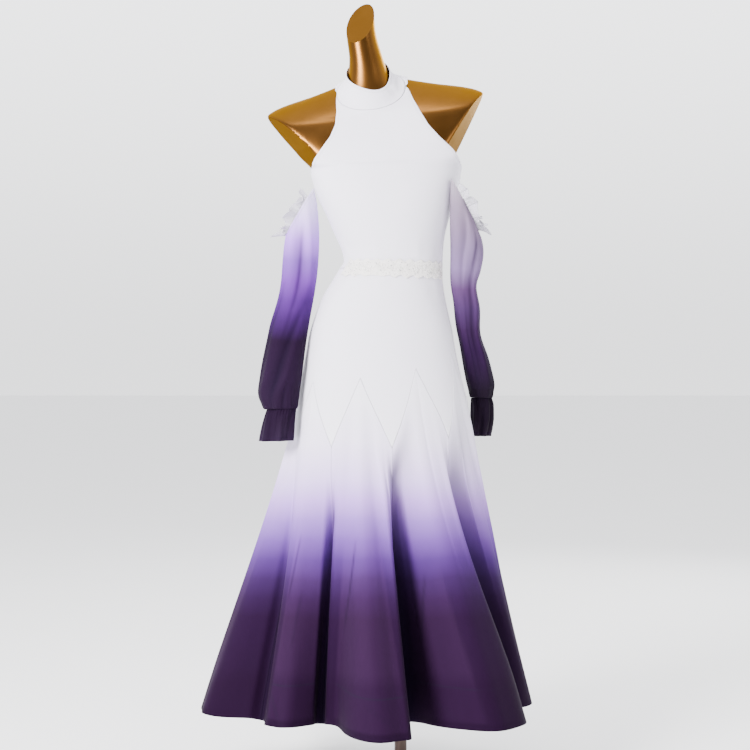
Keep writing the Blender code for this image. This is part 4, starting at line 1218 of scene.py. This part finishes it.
@functools.lru_cache(maxsize=None)
def gore_width(number, drop):
    """Straight distance from seam to seam of a gore at a share down its length."""
    return (skirt_point(number, 1, drop) - skirt_point(number, 0, drop)).length


def valley_shape(number, share, drop):
    """Depth of the valleys beside a gore at a place, its cloth's lean over them, their painted
    shade.
    """
    width = gore_width(number, drop)
    before, after = VALLEYS[number], VALLEYS[(number + 1) % len(VALLEYS)]
    sunk = lean = shade = 0.0
    for valley, distance, right_hand in (
        (before, share * width, False),
        (after, (1 - share) * width, True),
    ):
        grown = smoothstep(valley.start, valley.grown, drop)
        depth = valley.depth + (valley.hem_depth - valley.depth) * smoothstep(0.5, 1.0, drop)
        reach = valley.steep if right_hand else valley.slow
        sunk += depth * grown * bump(distance, 0, reach)
        over = valley.lean if right_hand else -valley.back
        wide = valley.reach * (LEAN_REACH_TOP + (1 - LEAN_REACH_TOP) * drop)
        lean += over * grown * drop * bump(distance, wide, LEAN_BREADTH * wide)
        # Painted shade in the valley, growing down the skirt
        dark = valley.dark * smoothstep(valley.dark_start, valley.dark_grown, drop)
        dark *= DARK_AT_TOP + (1 - DARK_AT_TOP) * smoothstep(0.2, 0.5, drop)
        spread_out = valley.shade * (STEEP_SHADE if right_hand else 1.0)
        shade = max(shade, dark * bump(distance, 0, spread_out))
    return sunk, lean, shade


def gore_share(column):
    """Share across a gore of a column of its mesh: the columns crowd towards the seams."""
    even = column / GORE_COLUMNS
    return 0.5 * even + 0.5 * (1 - math.cos(math.pi * even)) / 2


def sheer_mask(number, share, drop):
    """How much light comes through the cloth at a place of a gore."""
    panel = SHEER_PANELS[number]
    run = min(max((drop - panel.drop_top) / (1 - panel.drop_top), 0), 1)
    start = panel.from_top + (panel.from_hem - panel.from_top) * run
    end = panel.to_top + (panel.to_hem - panel.to_top) * run
    inside = smoothstep(start - SHEER_EDGE, start + SHEER_EDGE, share)
    inside *= smoothstep(-end - SHEER_EDGE, -end + SHEER_EDGE, -share)
    inside *= smoothstep(panel.drop_top, panel.drop_top + SHEER_FADE, drop)
    middle = smoothstep(0.1, 0.5, share) * smoothstep(0.1, 0.5, 1 - share)
    return panel.strength * (0.25 * middle + 0.75 * inside)


def ghost_line(number, share, drop, width):
    """Darkness of the inner edges that show through at a place of a gore."""
    dark = 0.0
    for ghost in GHOSTS:
        if ghost.gore != number + 1:
            continue
        run = (drop - ghost.drop) / (ghost.end_drop - ghost.drop)
        if not 0 < run < 1:
            continue
        middle = ghost.share + (ghost.end_share - ghost.share) * run
        fade = min(1.0, GHOST_FADE * run, GHOST_FADE * (1 - run))
        away = (share - middle) * width
        dark = max(dark, ghost.strength * fade * bump(away, 0, GHOST_WIDTH))
    return dark


def skirt_relief(number, share, drop):
    """Height of the soft folds and of the hem's ripple at a place of a gore."""
    height = 0.0
    for fold in SKIRT_FOLDS:
        if fold.gore != number + 1 or drop <= fold.drop_start:
            continue
        run = (drop - fold.drop_start) / (1 - fold.drop_start)
        middle = fold.share_top + (fold.share_hem - fold.share_top) * run
        width = fold.width * (0.7 + 0.5 * run)
        height += fold.depth * smoothstep(0, 1, run) * bump(share, middle, width)
    edge = smoothstep(0, 0.12, share) * smoothstep(0, 0.12, 1 - share)
    ripple = math.sin(share * 19 + number * 1.7) + 0.6 * math.sin(share * 31 + number * 2.9)
    return (height + HEM_RIPPLE * ripple * smoothstep(0.82, 1.0, drop)) * edge


def make_gores(material):
    """Nine gores, each a flute between two valleys, hung from the zigzag edge."""
    for number in range(len(GORES)):
        points, marks = [], []
        for r in range(GORE_ROWS + 1):
            drop = 1 - r / GORE_ROWS
            line = []
            for c in range(GORE_COLUMNS + 1):
                share = gore_share(c)
                normal = skirt_normal(number, share, drop)
                sunk, lean, _ = valley_shape(number, share, drop)
                point = skirt_point(number, share, drop)
                point += normal * (skirt_relief(number, share, drop) - sunk)
                point += Vector((-normal.y, normal.x, 0)) * lean
                line.append(point)
            points.append(line)
        up = [path_lengths([row[c] for row in points]) for c in range(GORE_COLUMNS + 1)]
        for r, row in enumerate(points):
            across = path_lengths(row)
            line = []
            drop = 1 - r / GORE_ROWS
            for c in range(GORE_COLUMNS + 1):
                share = gore_share(c)
                side = min(across[c], across[-1] - across[c])
                top = up[c][-1] - up[c][r]
                border = smoothstep(HEM_BORDER, HEM_BORDER + 0.004, up[c][r])
                sheer = sheer_mask(number, share, drop) * border
                ghost = ghost_line(number, share, drop, across[-1])
                # Painted shade of the valleys, kept as the fold mark
                shade = valley_shape(number, share, drop)[2]
                place = (across[c] - across[-1] / 2, up[c][r])
                line.append((min(side, top), up[c][r] - HEM_BAND, sheer, ghost, shade, *place))
            marks.append(line)
        name = f"gore_{number + 1}"
        piece = make_shell(name + "_cloth", points, marks, material)
        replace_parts(piece, name)


@functools.lru_cache(maxsize=None)
def sleeve_axes(part, side, station):
    """Centre of a ring and its outward, forward and downward vectors."""
    table = {
        ("sleeve", 1): SLEEVE_LEFT,
        ("sleeve", -1): SLEEVE_RIGHT,
        ("cuff", 1): CUFF_LEFT,
        ("cuff", -1): CUFF_RIGHT,
    }[(part, side)]
    ring = row_at(table, station)
    near = Vector((ring.x_in, ring.y_in, ring.z_in))
    far = Vector((ring.x_out, ring.y_out, ring.z_out))
    across = (far - near) / 2
    forward = Vector((0, -1, 0))
    forward -= across * (forward.dot(across) / across.dot(across))
    forward = forward.normalized() * ring.depth
    downward = across.cross(forward).normalized() * side
    return (near + far) / 2, across, forward, downward


def fold_depth(folds, station, angle):
    """How deep the long folds press in at a place on a sleeve."""
    depth = 0.0
    for fold in folds:
        run = (station - fold.ring_top) / (fold.ring_end - fold.ring_top)
        if not 0 < run < 1:
            continue
        middle = fold.angle_top + (fold.angle_end - fold.angle_top) * run
        away = (angle - middle + 180) % 360 - 180
        depth += fold.depth * math.sin(math.pi * run) ** FOLD_FULLNESS * bump(away, 0, fold.width)
    return depth


def tube_point(part, side, station, angle, inset):
    """Point on a tube of rings, moved in towards its centre by the inset."""
    centre, across, forward, _ = sleeve_axes(part, side, station)
    turn = math.radians(angle)
    arm = across * math.cos(turn) + forward * math.sin(turn)
    return centre + arm - arm.normalized() * inset


def sleeve_point(side, station, angle, fine=True):
    """Middle of a sleeve's cloth, with gathers at both ends, long folds and fine creases."""
    last = len(SLEEVE_LEFT) - 1
    turn = math.radians(angle)
    inset = fold_depth(SLEEVE_LEFT_FOLDS if side > 0 else SLEEVE_RIGHT_FOLDS, station, angle)
    top = TOP_GATHER_DEPTH * math.exp(-station * TOP_GATHER_FADE)
    inset += top * (1 - math.cos(TOP_GATHERS * turn))
    wrist = WRIST_GATHER_DEPTH * math.exp((station - last) * WRIST_GATHER_FADE)
    inset += wrist * (1 - math.cos(WRIST_GATHERS * turn))
    if not fine:
        return tube_point("sleeve", side, station, angle, inset)
    creases = SLEEVE_LEFT_CREASES if side > 0 else SLEEVE_RIGHT_CREASES
    inset += fold_depth(creases, station, angle)
    uneven = 1 + 0.5 * math.sin(5 * turn + 1.3) + 0.3 * math.sin(9 * turn)
    gather = math.exp((station - last) * 1.5) + 0.6 * math.exp(-station * 2.2)
    inset += FINE_GATHER_DEPTH * gather * uneven * math.sin(FINE_GATHERS * turn + side)
    point = tube_point("sleeve", side, station, angle, inset)
    point += Vector((0, 0, -PUFF_DROOP * bump(station, last - 0.55, 0.35)))
    ease = smoothstep(0.0, 0.8, station) * smoothstep(0.0, 0.6, last - station)
    centre = sleeve_axes("sleeve", side, station)[0]
    crumple = noise.noise(Vector((point.x * 26, point.y * 26, point.z * 15 + 7 * side)))
    return point + (point - centre).normalized() * SLEEVE_CRUMPLE * crumple * ease


def cuff_point(side, station, angle):
    """Middle of the cloth below the wrist, fluted more towards its hem."""
    last = len(CUFF_LEFT) - 1
    turn = math.radians(angle)
    share = station / last
    wrist = WRIST_GATHER_DEPTH * (1 - share) * (1 - math.cos(WRIST_GATHERS * turn))
    flute = CUFF_FLUTE_DEPTH * share * (1 - math.cos(CUFF_FLUTES * turn + CUFF_FLUTE_TURN))
    uneven = 1 + 0.5 * math.sin(4 * turn + 0.4)
    gather = FINE_GATHER_DEPTH * (1 - share) ** 2 * uneven * math.sin(FINE_GATHERS * turn)
    soft = 0.0012 * share * math.sin(13 * turn + 2 * side) * uneven
    return tube_point("cuff", side, station, angle, wrist + flute + gather + soft)


def sleeve_light(part, station, turn):
    """How much light comes through a sleeve: patches on its front, and most of the flounce."""
    if part == "cuff":
        return 0.35 + 0.65 * smoothstep(0.6, 1.6, station) * (0.5 + 0.5 * math.sin(3 * turn + 1))
    across = bump(math.sin(turn / 2 + 0.4), 0.85, 0.35)
    return 0.75 * across * smoothstep(1.0, 3.0, station) + 0.15


def sleeve_hollow_shade(part, side, station, turn):
    """Painted shade in the hollows of a sleeve's long folds, at its gathered wrist, and at the
    flounce's top.
    """
    if part == "cuff":
        return 0.5 * bump(station, 0, 0.25)
    angle = math.degrees(turn)
    folds = SLEEVE_LEFT_FOLDS if side > 0 else SLEEVE_RIGHT_FOLDS
    creases = SLEEVE_LEFT_CREASES if side > 0 else SLEEVE_RIGHT_CREASES
    hollow = fold_depth(folds, station, angle) / FOLD_FULL_DARK
    hollow += fold_depth(creases, station, angle) / CREASE_FULL_DARK
    last = len(SLEEVE_LEFT) - 1
    folded = min(max(0.45 * hollow, 0.0), 0.8) * smoothstep(0.6, 2.0, station)
    return folded + 0.5 * bump(station, last, 0.2)


def make_tube(part, side, word, material):
    """Closed tube of cloth: a sleeve from its top edge to the wrist, or the flounce below it."""
    is_cuff = part == "cuff"
    surface = cuff_point if is_cuff else sleeve_point
    last = len(CUFF_LEFT if is_cuff else SLEEVE_LEFT) - 1
    rows = CUFF_ROWS if is_cuff else SLEEVE_ROWS
    points, marks = [], []
    for r in range(rows + 1):
        station = last * r / rows
        angles = [360 * c / SLEEVE_COLUMNS for c in range(SLEEVE_COLUMNS)]
        points.append([surface(side, station, angle) for angle in angles])
    down = [path_lengths([row[c] for row in points]) for c in range(SLEEVE_COLUMNS)]
    for r, row in enumerate(points):
        girth = path_lengths(row + [row[0]])[-1]
        line = []
        for c in range(SLEEVE_COLUMNS):
            to_hem = down[c][-1] - down[c][r] if is_cuff else down[c][r]
            turn = 2 * math.pi * c / SLEEVE_COLUMNS
            station = last * r / rows
            light = sleeve_light(part, station, turn)
            seam_side = abs(c / SLEEVE_COLUMNS - 0.5) * girth
            # Painted shade of the sleeve's hollows, kept as the fold mark
            dark = sleeve_hollow_shade(part, side, station, turn)
            place = (math.sin(turn) * girth / 4, down[c][r])
            line.append((seam_side, to_hem - CUFF_STITCH, light, 0.0, dark, *place))
        marks.append(line)
    name = f"{part}_{word}_cloth"
    piece = make_shell(name, points, marks, material, closed=True)
    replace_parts(piece, f"sleeve_cuff_{word}" if is_cuff else f"sleeve_{word}")


def frill_lobe(side, phase):
    """Size of the frill's lobe at a phase, uneven from one lobe to the next."""
    return 1 + 0.34 * math.sin(0.53 * phase + 1.1 * side) + 0.22 * math.sin(0.87 * phase + 0.4)


def frill_point(side, share_up, angle):
    """Middle of the frill's cloth: it stands off the sleeve's top edge and waves in and out."""
    foot = sleeve_point(side, 0, angle, fine=False)
    centre, _, _, downward = sleeve_axes("sleeve", side, 0)
    outwards = (foot - centre).normalized()
    phase = math.radians(angle) * FRILL_WAVES
    lobe = frill_lobe(side, phase)
    wave = lobe * math.sin(phase) + FRILL_SLOW_WAVE * math.sin(FRILL_SLOW_RATE * phase + 1)
    scallop = abs(math.sin(FRILL_SCALLOPS * phase + FRILL_SCALLOP_TURN))
    tall = FRILL_HEIGHT_BASE + FRILL_HEIGHT_LOBE * lobe + FRILL_HEIGHT_SCALLOP * scallop
    height = FRILL_HEIGHT * tall
    rise = FRILL_LIFT + height * (1 - FRILL_SPREAD) * share_up
    out = height * FRILL_SPREAD * share_up + FRILL_WAVE_DEPTH * wave * share_up
    sway = FRILL_SWAY * share_up * math.sin(2 * phase + 0.3)
    gather = FRILL_GATHER * (1 - share_up) ** 2 * math.sin(4.0 * phase)
    uneven = noise.noise(Vector((3 * share_up, 0.8 * phase, side)))
    crumple = FRILL_CRUMPLE * share_up * uneven
    curl = FRILL_CURL * share_up**2 * (0.8 + math.sin(0.5 * phase + 2 * side))
    along = downward.cross(outwards)
    return foot - downward * (rise - curl) + outwards * (out + gather + crumple) + along * sway


def make_frill(side, word, material):
    """Gathered frill round a sleeve's open top, with a raw wavy edge."""
    start, end = FRILL_TURNS[word]
    points = []
    for r in range(FRILL_ROWS + 1):
        share_up = r / FRILL_ROWS
        angles = [start + (end - start) * c / FRILL_COLUMNS for c in range(FRILL_COLUMNS + 1)]
        points.append([frill_point(side, share_up, angle) for angle in angles])
    marks = []
    across = path_lengths(points[-1])
    for r in range(FRILL_ROWS + 1):
        height = FRILL_HEIGHT * r / FRILL_ROWS
        marks.append([(height + 0.001, 1.0, 0.0, 0.0, 0.0, length, height) for length in across])
    piece = make_shell(f"ruffle_{word}_cloth", points, marks, material)
    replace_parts(piece, f"sleeve_ruffle_{word}")


def make_sleeves(sleeve_materials, frill_material):
    """Both bishop sleeves with their flounces and frills."""
    for side, word in ((-1, "right"), (1, "left")):
        make_tube("sleeve", side, word, sleeve_materials[word])
        make_tube("cuff", side, word, sleeve_materials[word])
        make_frill(side, word, frill_material)


def make_button(number, station, material):
    """Domed covered button with a rolled rim, at the back of the collar."""
    outwards = body_normal(station, BUTTON_ANGLE)
    middle = over_body(station, BUTTON_ANGLE, EASE + COLLAR_CLOTH + 0.0003 + BUTTON_THICKNESS / 2)
    across = outwards.orthogonal().normalized()
    other = outwards.cross(across)
    points, marks = [], []
    for radius, height in BUTTON_PROFILE:
        ring, line = [], []
        for c in range(BUTTON_COLUMNS):
            turn = 2 * math.pi * c / BUTTON_COLUMNS
            arm = (across * math.cos(turn) + other * math.sin(turn)) * radius * BUTTON_RADIUS
            ring.append(middle + arm + outwards * height * BUTTON_THICKNESS / 2)
            line.append((1.0, 1.0, 0.0, 0.0, 0.0, arm.dot(across), arm.dot(other)))
        points.append(ring)
        marks.append(line)
    name = f"button_{number}"
    piece = make_shell(name, points, marks, material, 0, closed=True)
    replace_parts(piece, "collar_" + name)


def trim_place(share, up, lift):
    """Point over the waist trim's ground, a share along it and up it, and the way out there."""
    angle = TRIM_FROM + (TRIM_TO - TRIM_FROM) * share
    wave = math.sin(2 * math.pi * TRIM_EDGE_WAVES * share)
    drop = TRIM_DROP * share
    top = TRIM_TOP - drop + TRIM_EDGE_WAVE * wave
    bottom = TRIM_BOTTOM - drop + TRIM_EDGE_WAVE * math.cos(TRIM_EDGE_DRIFT * share) * wave
    station = station_at(round(bottom + (top - bottom) * up, 4))
    outwards = body_normal(station, angle)
    return body_point(station, angle) + outwards * (CLOTH_OUTSIDE + TRIM_LIFT + lift), outwards


def add_strip(bm, uv, rows):
    """Quads between rows of (vertex, place on the thread pattern) pairs."""
    for low, high in zip(rows, rows[1:]):
        for c in range(len(low) - 1):
            corners = (low[c], low[c + 1], high[c + 1], high[c])
            face = bm.faces.new([vert for vert, _ in corners])
            for loop, (_, spot) in zip(face.loops, corners):
                loop[uv].uv = spot


def add_leaf(bm, uv, root, heading, length, width):
    """Padded satin leaf on the trim: root is (metres along, metres up) and heading an angle."""
    axis = Vector((math.cos(heading), math.sin(heading)))
    aside = Vector((-axis.y, axis.x))
    rows = []
    for r in range(LEAF_SEGMENTS + 1):
        t = r / LEAF_SEGMENTS
        half = width / 2 * math.sin(math.pi * min(t * 0.94 + 0.05, 1)) ** 0.8
        bend = 0.12 * length * math.sin(math.pi * t)
        row = []
        for across in (-1, -0.5, 0, 0.5, 1):
            flat = root + axis * length * t + aside * (half * across + bend)
            dome = 0.0016 * (1 - across * across) * math.sin(math.pi * (0.1 + 0.8 * t))
            share, up = flat.x / TRIM_LENGTH, flat.y / TRIM_HEIGHT
            place, _ = trim_place(share, up, TRIM_THREAD_LIFT + dome)
            row.append((bm.verts.new(place), (t * 4, across)))
        rows.append(row)
    add_strip(bm, uv, rows)


def make_trim(lace, satin, stone, bead):
    """Irregular leaf-scroll lace over the front of the waist seam, with beads and stones."""
    points, marks = [], []
    for r in range(TRIM_LACE_ROWS + 1):
        row, line = [], []
        for c in range(TRIM_LACE_COLUMNS + 1):
            share, up = c / TRIM_LACE_COLUMNS, r / TRIM_LACE_ROWS
            scallop = abs(math.sin(34 * math.pi * share)) * 0.05 + 0.03 * math.sin(57 * share)
            up = 0.5 + (up - 0.5) * (0.98 + scallop)
            knots = 0.0004 * noise.noise(Vector((share * 130, up * 14, 0)))
            place, _ = trim_place(share, up, 0.0004 + knots)
            row.append(place)
            line.append((1.0, 1.0, 0.0, 0.0, 0.0, share * TRIM_LENGTH, up * TRIM_HEIGHT))
        points.append(row)
        marks.append(line)
    ground = make_shell("trim_lace", points, marks, lace, LACE_THICKNESS)
    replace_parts(ground, "waist_trim")

    bm = bmesh.new()
    uv = bm.loops.layers.uv.new("cut")
    spots = []
    for spray in range(TRIM_SPRAYS):
        side = 1 if spray % 2 else -1
        along = TRIM_LENGTH * (spray + 0.5 + random.uniform(-0.16, 0.16)) / TRIM_SPRAYS
        stem = Vector((along, TRIM_HEIGHT * (0.5 - 0.16 * side)))
        for leaf in range(TRIM_LEAVES):
            heading = math.radians(90 * side + (leaf - 2) * 42 + random.uniform(-10, 10))
            length = random.uniform(0.0085, 0.0125) * (1.0 if leaf in (1, 2, 3) else 0.8)
            tip = stem + Vector((math.cos(heading), math.sin(heading))) * length
            if not 0.003 < tip.x < TRIM_LENGTH - 0.003:
                continue
            length *= 0.62 if not 0.02 < tip.y / TRIM_HEIGHT < 0.98 else 1.0
            add_leaf(bm, uv, stem, heading, length, random.uniform(0.0034, 0.0046))
        spots.append(stem)
    for strand in range(TRIM_STRANDS):
        rows = []
        for step in range(STRAND_STEPS + 1):
            share = 0.01 + 0.98 * step / STRAND_STEPS
            phase = math.pi * TRIM_SPRAYS * share + strand * 2.4
            middle = 0.5 + (0.30 - 0.12 * strand) * math.sin(phase) + 0.05 * math.sin(2.3 * phase)
            row = []
            for across, dome in ((-1, 0.0), (0, 0.0010), (1, 0.0)):
                up = middle + across * STRAND_HALF_WIDTH / TRIM_HEIGHT
                place, _ = trim_place(share, up, TRIM_THREAD_LIFT + dome)
                row.append((bm.verts.new(place), (share * 60, across)))
            rows.append(row)
        add_strip(bm, uv, rows[::-1])
    object_from(bm, "trim_leaves", satin)

    bm = bmesh.new()
    for number in range(BEAD_COUNT):
        share = 0.01 + 0.98 * (number + random.random()) / BEAD_COUNT
        up = 0.5 + random.uniform(-0.46, 0.46)
        radius = random.uniform(0.0007, 0.0011)
        place, _ = trim_place(share, up, 0.0008 + radius * 0.6)
        made = bmesh.ops.create_icosphere(bm, subdivisions=2, radius=radius)
        bmesh.ops.translate(bm, verts=made["verts"], vec=place)
    object_from(bm, "trim_beads", bead)

    bm = bmesh.new()
    for number in range(STONE_COUNT):
        if number < len(spots):
            share, up = spots[number].x / TRIM_LENGTH, spots[number].y / TRIM_HEIGHT
        else:
            share = 0.02 + 0.96 * random.random()
            up = 0.5 + random.uniform(-0.42, 0.42)
        sizes = (0.0013, 0.0019) if number < len(spots) else (0.0009, 0.0014)
        radius = random.uniform(*sizes)
        place, outwards = trim_place(share, up, STONE_LIFT)
        made = bmesh.ops.create_cone(
            bm, cap_ends=True, segments=8, radius1=radius, radius2=radius * 0.55, depth=radius * 0.9
        )
        turn = outwards.to_track_quat("Z", "Y").to_matrix()
        bmesh.ops.rotate(bm, verts=made["verts"], cent=(0, 0, 0), matrix=turn)
        bmesh.ops.translate(bm, verts=made["verts"], vec=place)
    stones = object_from(bm, "trim_stones", stone)
    stones.data.shade_flat()


# The cut of each sheet: flat width and length, its area in square metres, how it is held and
# what it rests on. A gore's width is that of its hem.
Cut = namedtuple("Cut", "piece width length area held rests_on")
CUTS = table(
    Cut,
    ("bodice_front_cloth", 0.445, 0.510, 0.122, "draped", ["form_body"]),
    ("bodice_back_left_cloth", 0.212, 0.570, 0.062, "draped", ["form_body"]),
    ("bodice_back_right_cloth", 0.212, 0.540, 0.062, "draped", ["form_body"]),
    ("collar_cloth", 0.400, 0.050, 0.0156, "draped", ["form_body"]),
    ("yoke_front_cloth", 0.440, 0.390, 0.123, "draped", ["form_body"]),
    ("yoke_back_left_cloth", 0.215, 0.375, 0.058, "draped", ["form_body"]),
    ("yoke_back_right_cloth", 0.225, 0.395, 0.064, "draped", ["form_body"]),
    ("gore_1_cloth", 0.290, 0.715, 0.105, "hung", ["yoke_front_cloth"]),
    ("gore_2_cloth", 0.455, 0.740, 0.166, "hung", ["yoke_front_cloth"]),
    ("gore_3_cloth", 0.460, 0.760, 0.173, "hung", ["yoke_front_cloth"]),
    ("gore_4_cloth", 0.360, 0.770, 0.125, "hung", ["yoke_front_cloth"]),
    ("gore_5_cloth", 0.335, 0.770, 0.131, "hung", ["yoke_back_left_cloth"]),
    ("gore_6_cloth", 0.360, 0.765, 0.143, "hung", ["yoke_back_left_cloth"]),
    ("gore_7_cloth", 0.350, 0.755, 0.140, "hung", ["yoke_back_right_cloth"]),
    ("gore_8_cloth", 0.345, 0.740, 0.140, "hung", ["yoke_back_right_cloth"]),
    ("gore_9_cloth", 0.395, 0.730, 0.151, "hung", ["yoke_back_right_cloth"]),
    ("sleeve_left_cloth", 0.240, 0.500, 0.085, "hung", ["bodice_front_cloth"]),
    ("sleeve_right_cloth", 0.290, 0.485, 0.104, "hung", ["bodice_front_cloth"]),
    ("cuff_left_cloth", 0.180, 0.086, 0.0148, "gathered", ["sleeve_left_cloth"]),
    ("cuff_right_cloth", 0.200, 0.074, 0.0147, "gathered", ["sleeve_right_cloth"]),
    ("ruffle_left_cloth", 0.220, 0.023, None, "gathered", ["sleeve_left_cloth"]),
    ("ruffle_right_cloth", 0.230, 0.023, None, "gathered", ["sleeve_right_cloth"]),
    ("trim_lace", 0.310, 0.036, None, "laid", ["bodice_front_cloth", "yoke_front_cloth"]),
)


Light = namedtuple("Light", "name place target size power color")
LIGHTS = table(
    Light,
    ("key", (-2.7, -3.3, 2.3), (-0.05, 0, 0.8), 1.6, 620, (1.0, 0.99, 0.99)),
    ("fill", (3.0, -2.2, 1.9), (-0.05, 0, 0.9), 1.6, 45, (1.0, 0.97, 0.94)),
    ("top", (-0.3, -0.6, 4.2), (-0.05, 0, 1.0), 1.6, 70, (1.0, 1.0, 1.0)),
    ("back", (1.6, 3.2, 2.4), (-0.05, 0, 1.0), 2.0, 90, (1.0, 1.0, 1.0)),
)
CAMERA_PLACE = (-0.055, -3.225, 0.864)
CAMERA_LENS = 72


def make_stage():
    """Pale floor that runs out of sight, soft lights and a pale surround."""
    bpy.ops.mesh.primitive_plane_add(size=120, location=(0, 0, 0))
    floor = bpy.context.object
    floor.name = "studio_floor"
    material, tree, shader, position = new_material("pale_floor")
    grain = noise_value(tree, position, 3.0, 2.0)
    color = blend_colors(tree, grain, (0.88, 0.88, 0.885), (0.90, 0.90, 0.905))
    set_inputs(tree, shader, {"Base Color": color, "Roughness": 0.9, "Specular IOR Level": 0.1})
    floor.data.materials.append(material)
    world = bpy.data.worlds.new("studio")
    bpy.context.scene.world = world
    world.use_nodes = True
    tree = world.node_tree
    background = tree.nodes["Background"]
    background.inputs["Color"].default_value = (0.97, 0.975, 1.0, 1)
    direction = add_node(tree, "TexCoord").outputs["Generated"]
    axes = add_node(tree, "SeparateXYZ", {0: direction})
    behind = remap(tree, axes.outputs[1], -0.5, 0.6, WORLD_FRONT, WORLD_BACK)
    height = remap(tree, axes.outputs[2], 0.0, 0.30, WORLD_HORIZON, 1.0)
    tree.links.new(maths(tree, "MULTIPLY", behind, height), background.inputs["Strength"])
    for light in LIGHTS:
        data = bpy.data.lights.new(light.name, "AREA")
        data.shape = "DISK"
        data.size = light.size
        data.energy = light.power
        data.color = light.color
        lamp = bpy.data.objects.new(light.name, data)
        bpy.context.scene.collection.objects.link(lamp)
        lamp.location = light.place
        aim = Vector(light.target) - Vector(light.place)
        lamp.rotation_euler = aim.to_track_quat("-Z", "Y").to_euler()


def make_camera():
    """Level camera in front of the dress, at the photograph's angle."""
    data = bpy.data.cameras.new("camera")
    data.sensor_width = 36
    data.lens = CAMERA_LENS
    camera = bpy.data.objects.new("camera", data)
    bpy.context.scene.collection.objects.link(camera)
    camera.location = CAMERA_PLACE
    camera.rotation_euler = (math.radians(90), 0, 0)
    bpy.context.scene.camera = camera


def main():
    """Builds the stage and the dressed form."""
    make_camera()
    make_stage()
    random.seed(7)
    make_form(gold_finish())
    stand = stand_finish()
    for node in ("stand_pole", "stand_base"):
        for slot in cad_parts[node].material_slots:
            slot.material = stand
    white = crepe("white_crepe_cloth")
    make_bodice(white)
    make_collar(white)
    make_yoke(white)
    make_gores(crepe("dyed_crepe_valley_shade", SKIRT_DYE, sideways=0.12, sheen=0.008))
    sleeves = {
        word: crepe(f"dyed_and_shaded_sleeve_{word}", dyes, sheen=0.008)
        for word, dyes in SLEEVE_DYE_AND_SHADE.items()
    }
    make_sleeves(sleeves, crepe("shaded_raw_frill", white=FRILL_SHADED_WHITE))
    for number, station in enumerate(BUTTON_STATIONS, 1):
        make_button(number, station, white)
    make_trim(lace_finish(), satin_finish(), stone_finish(), bead_finish())


main()
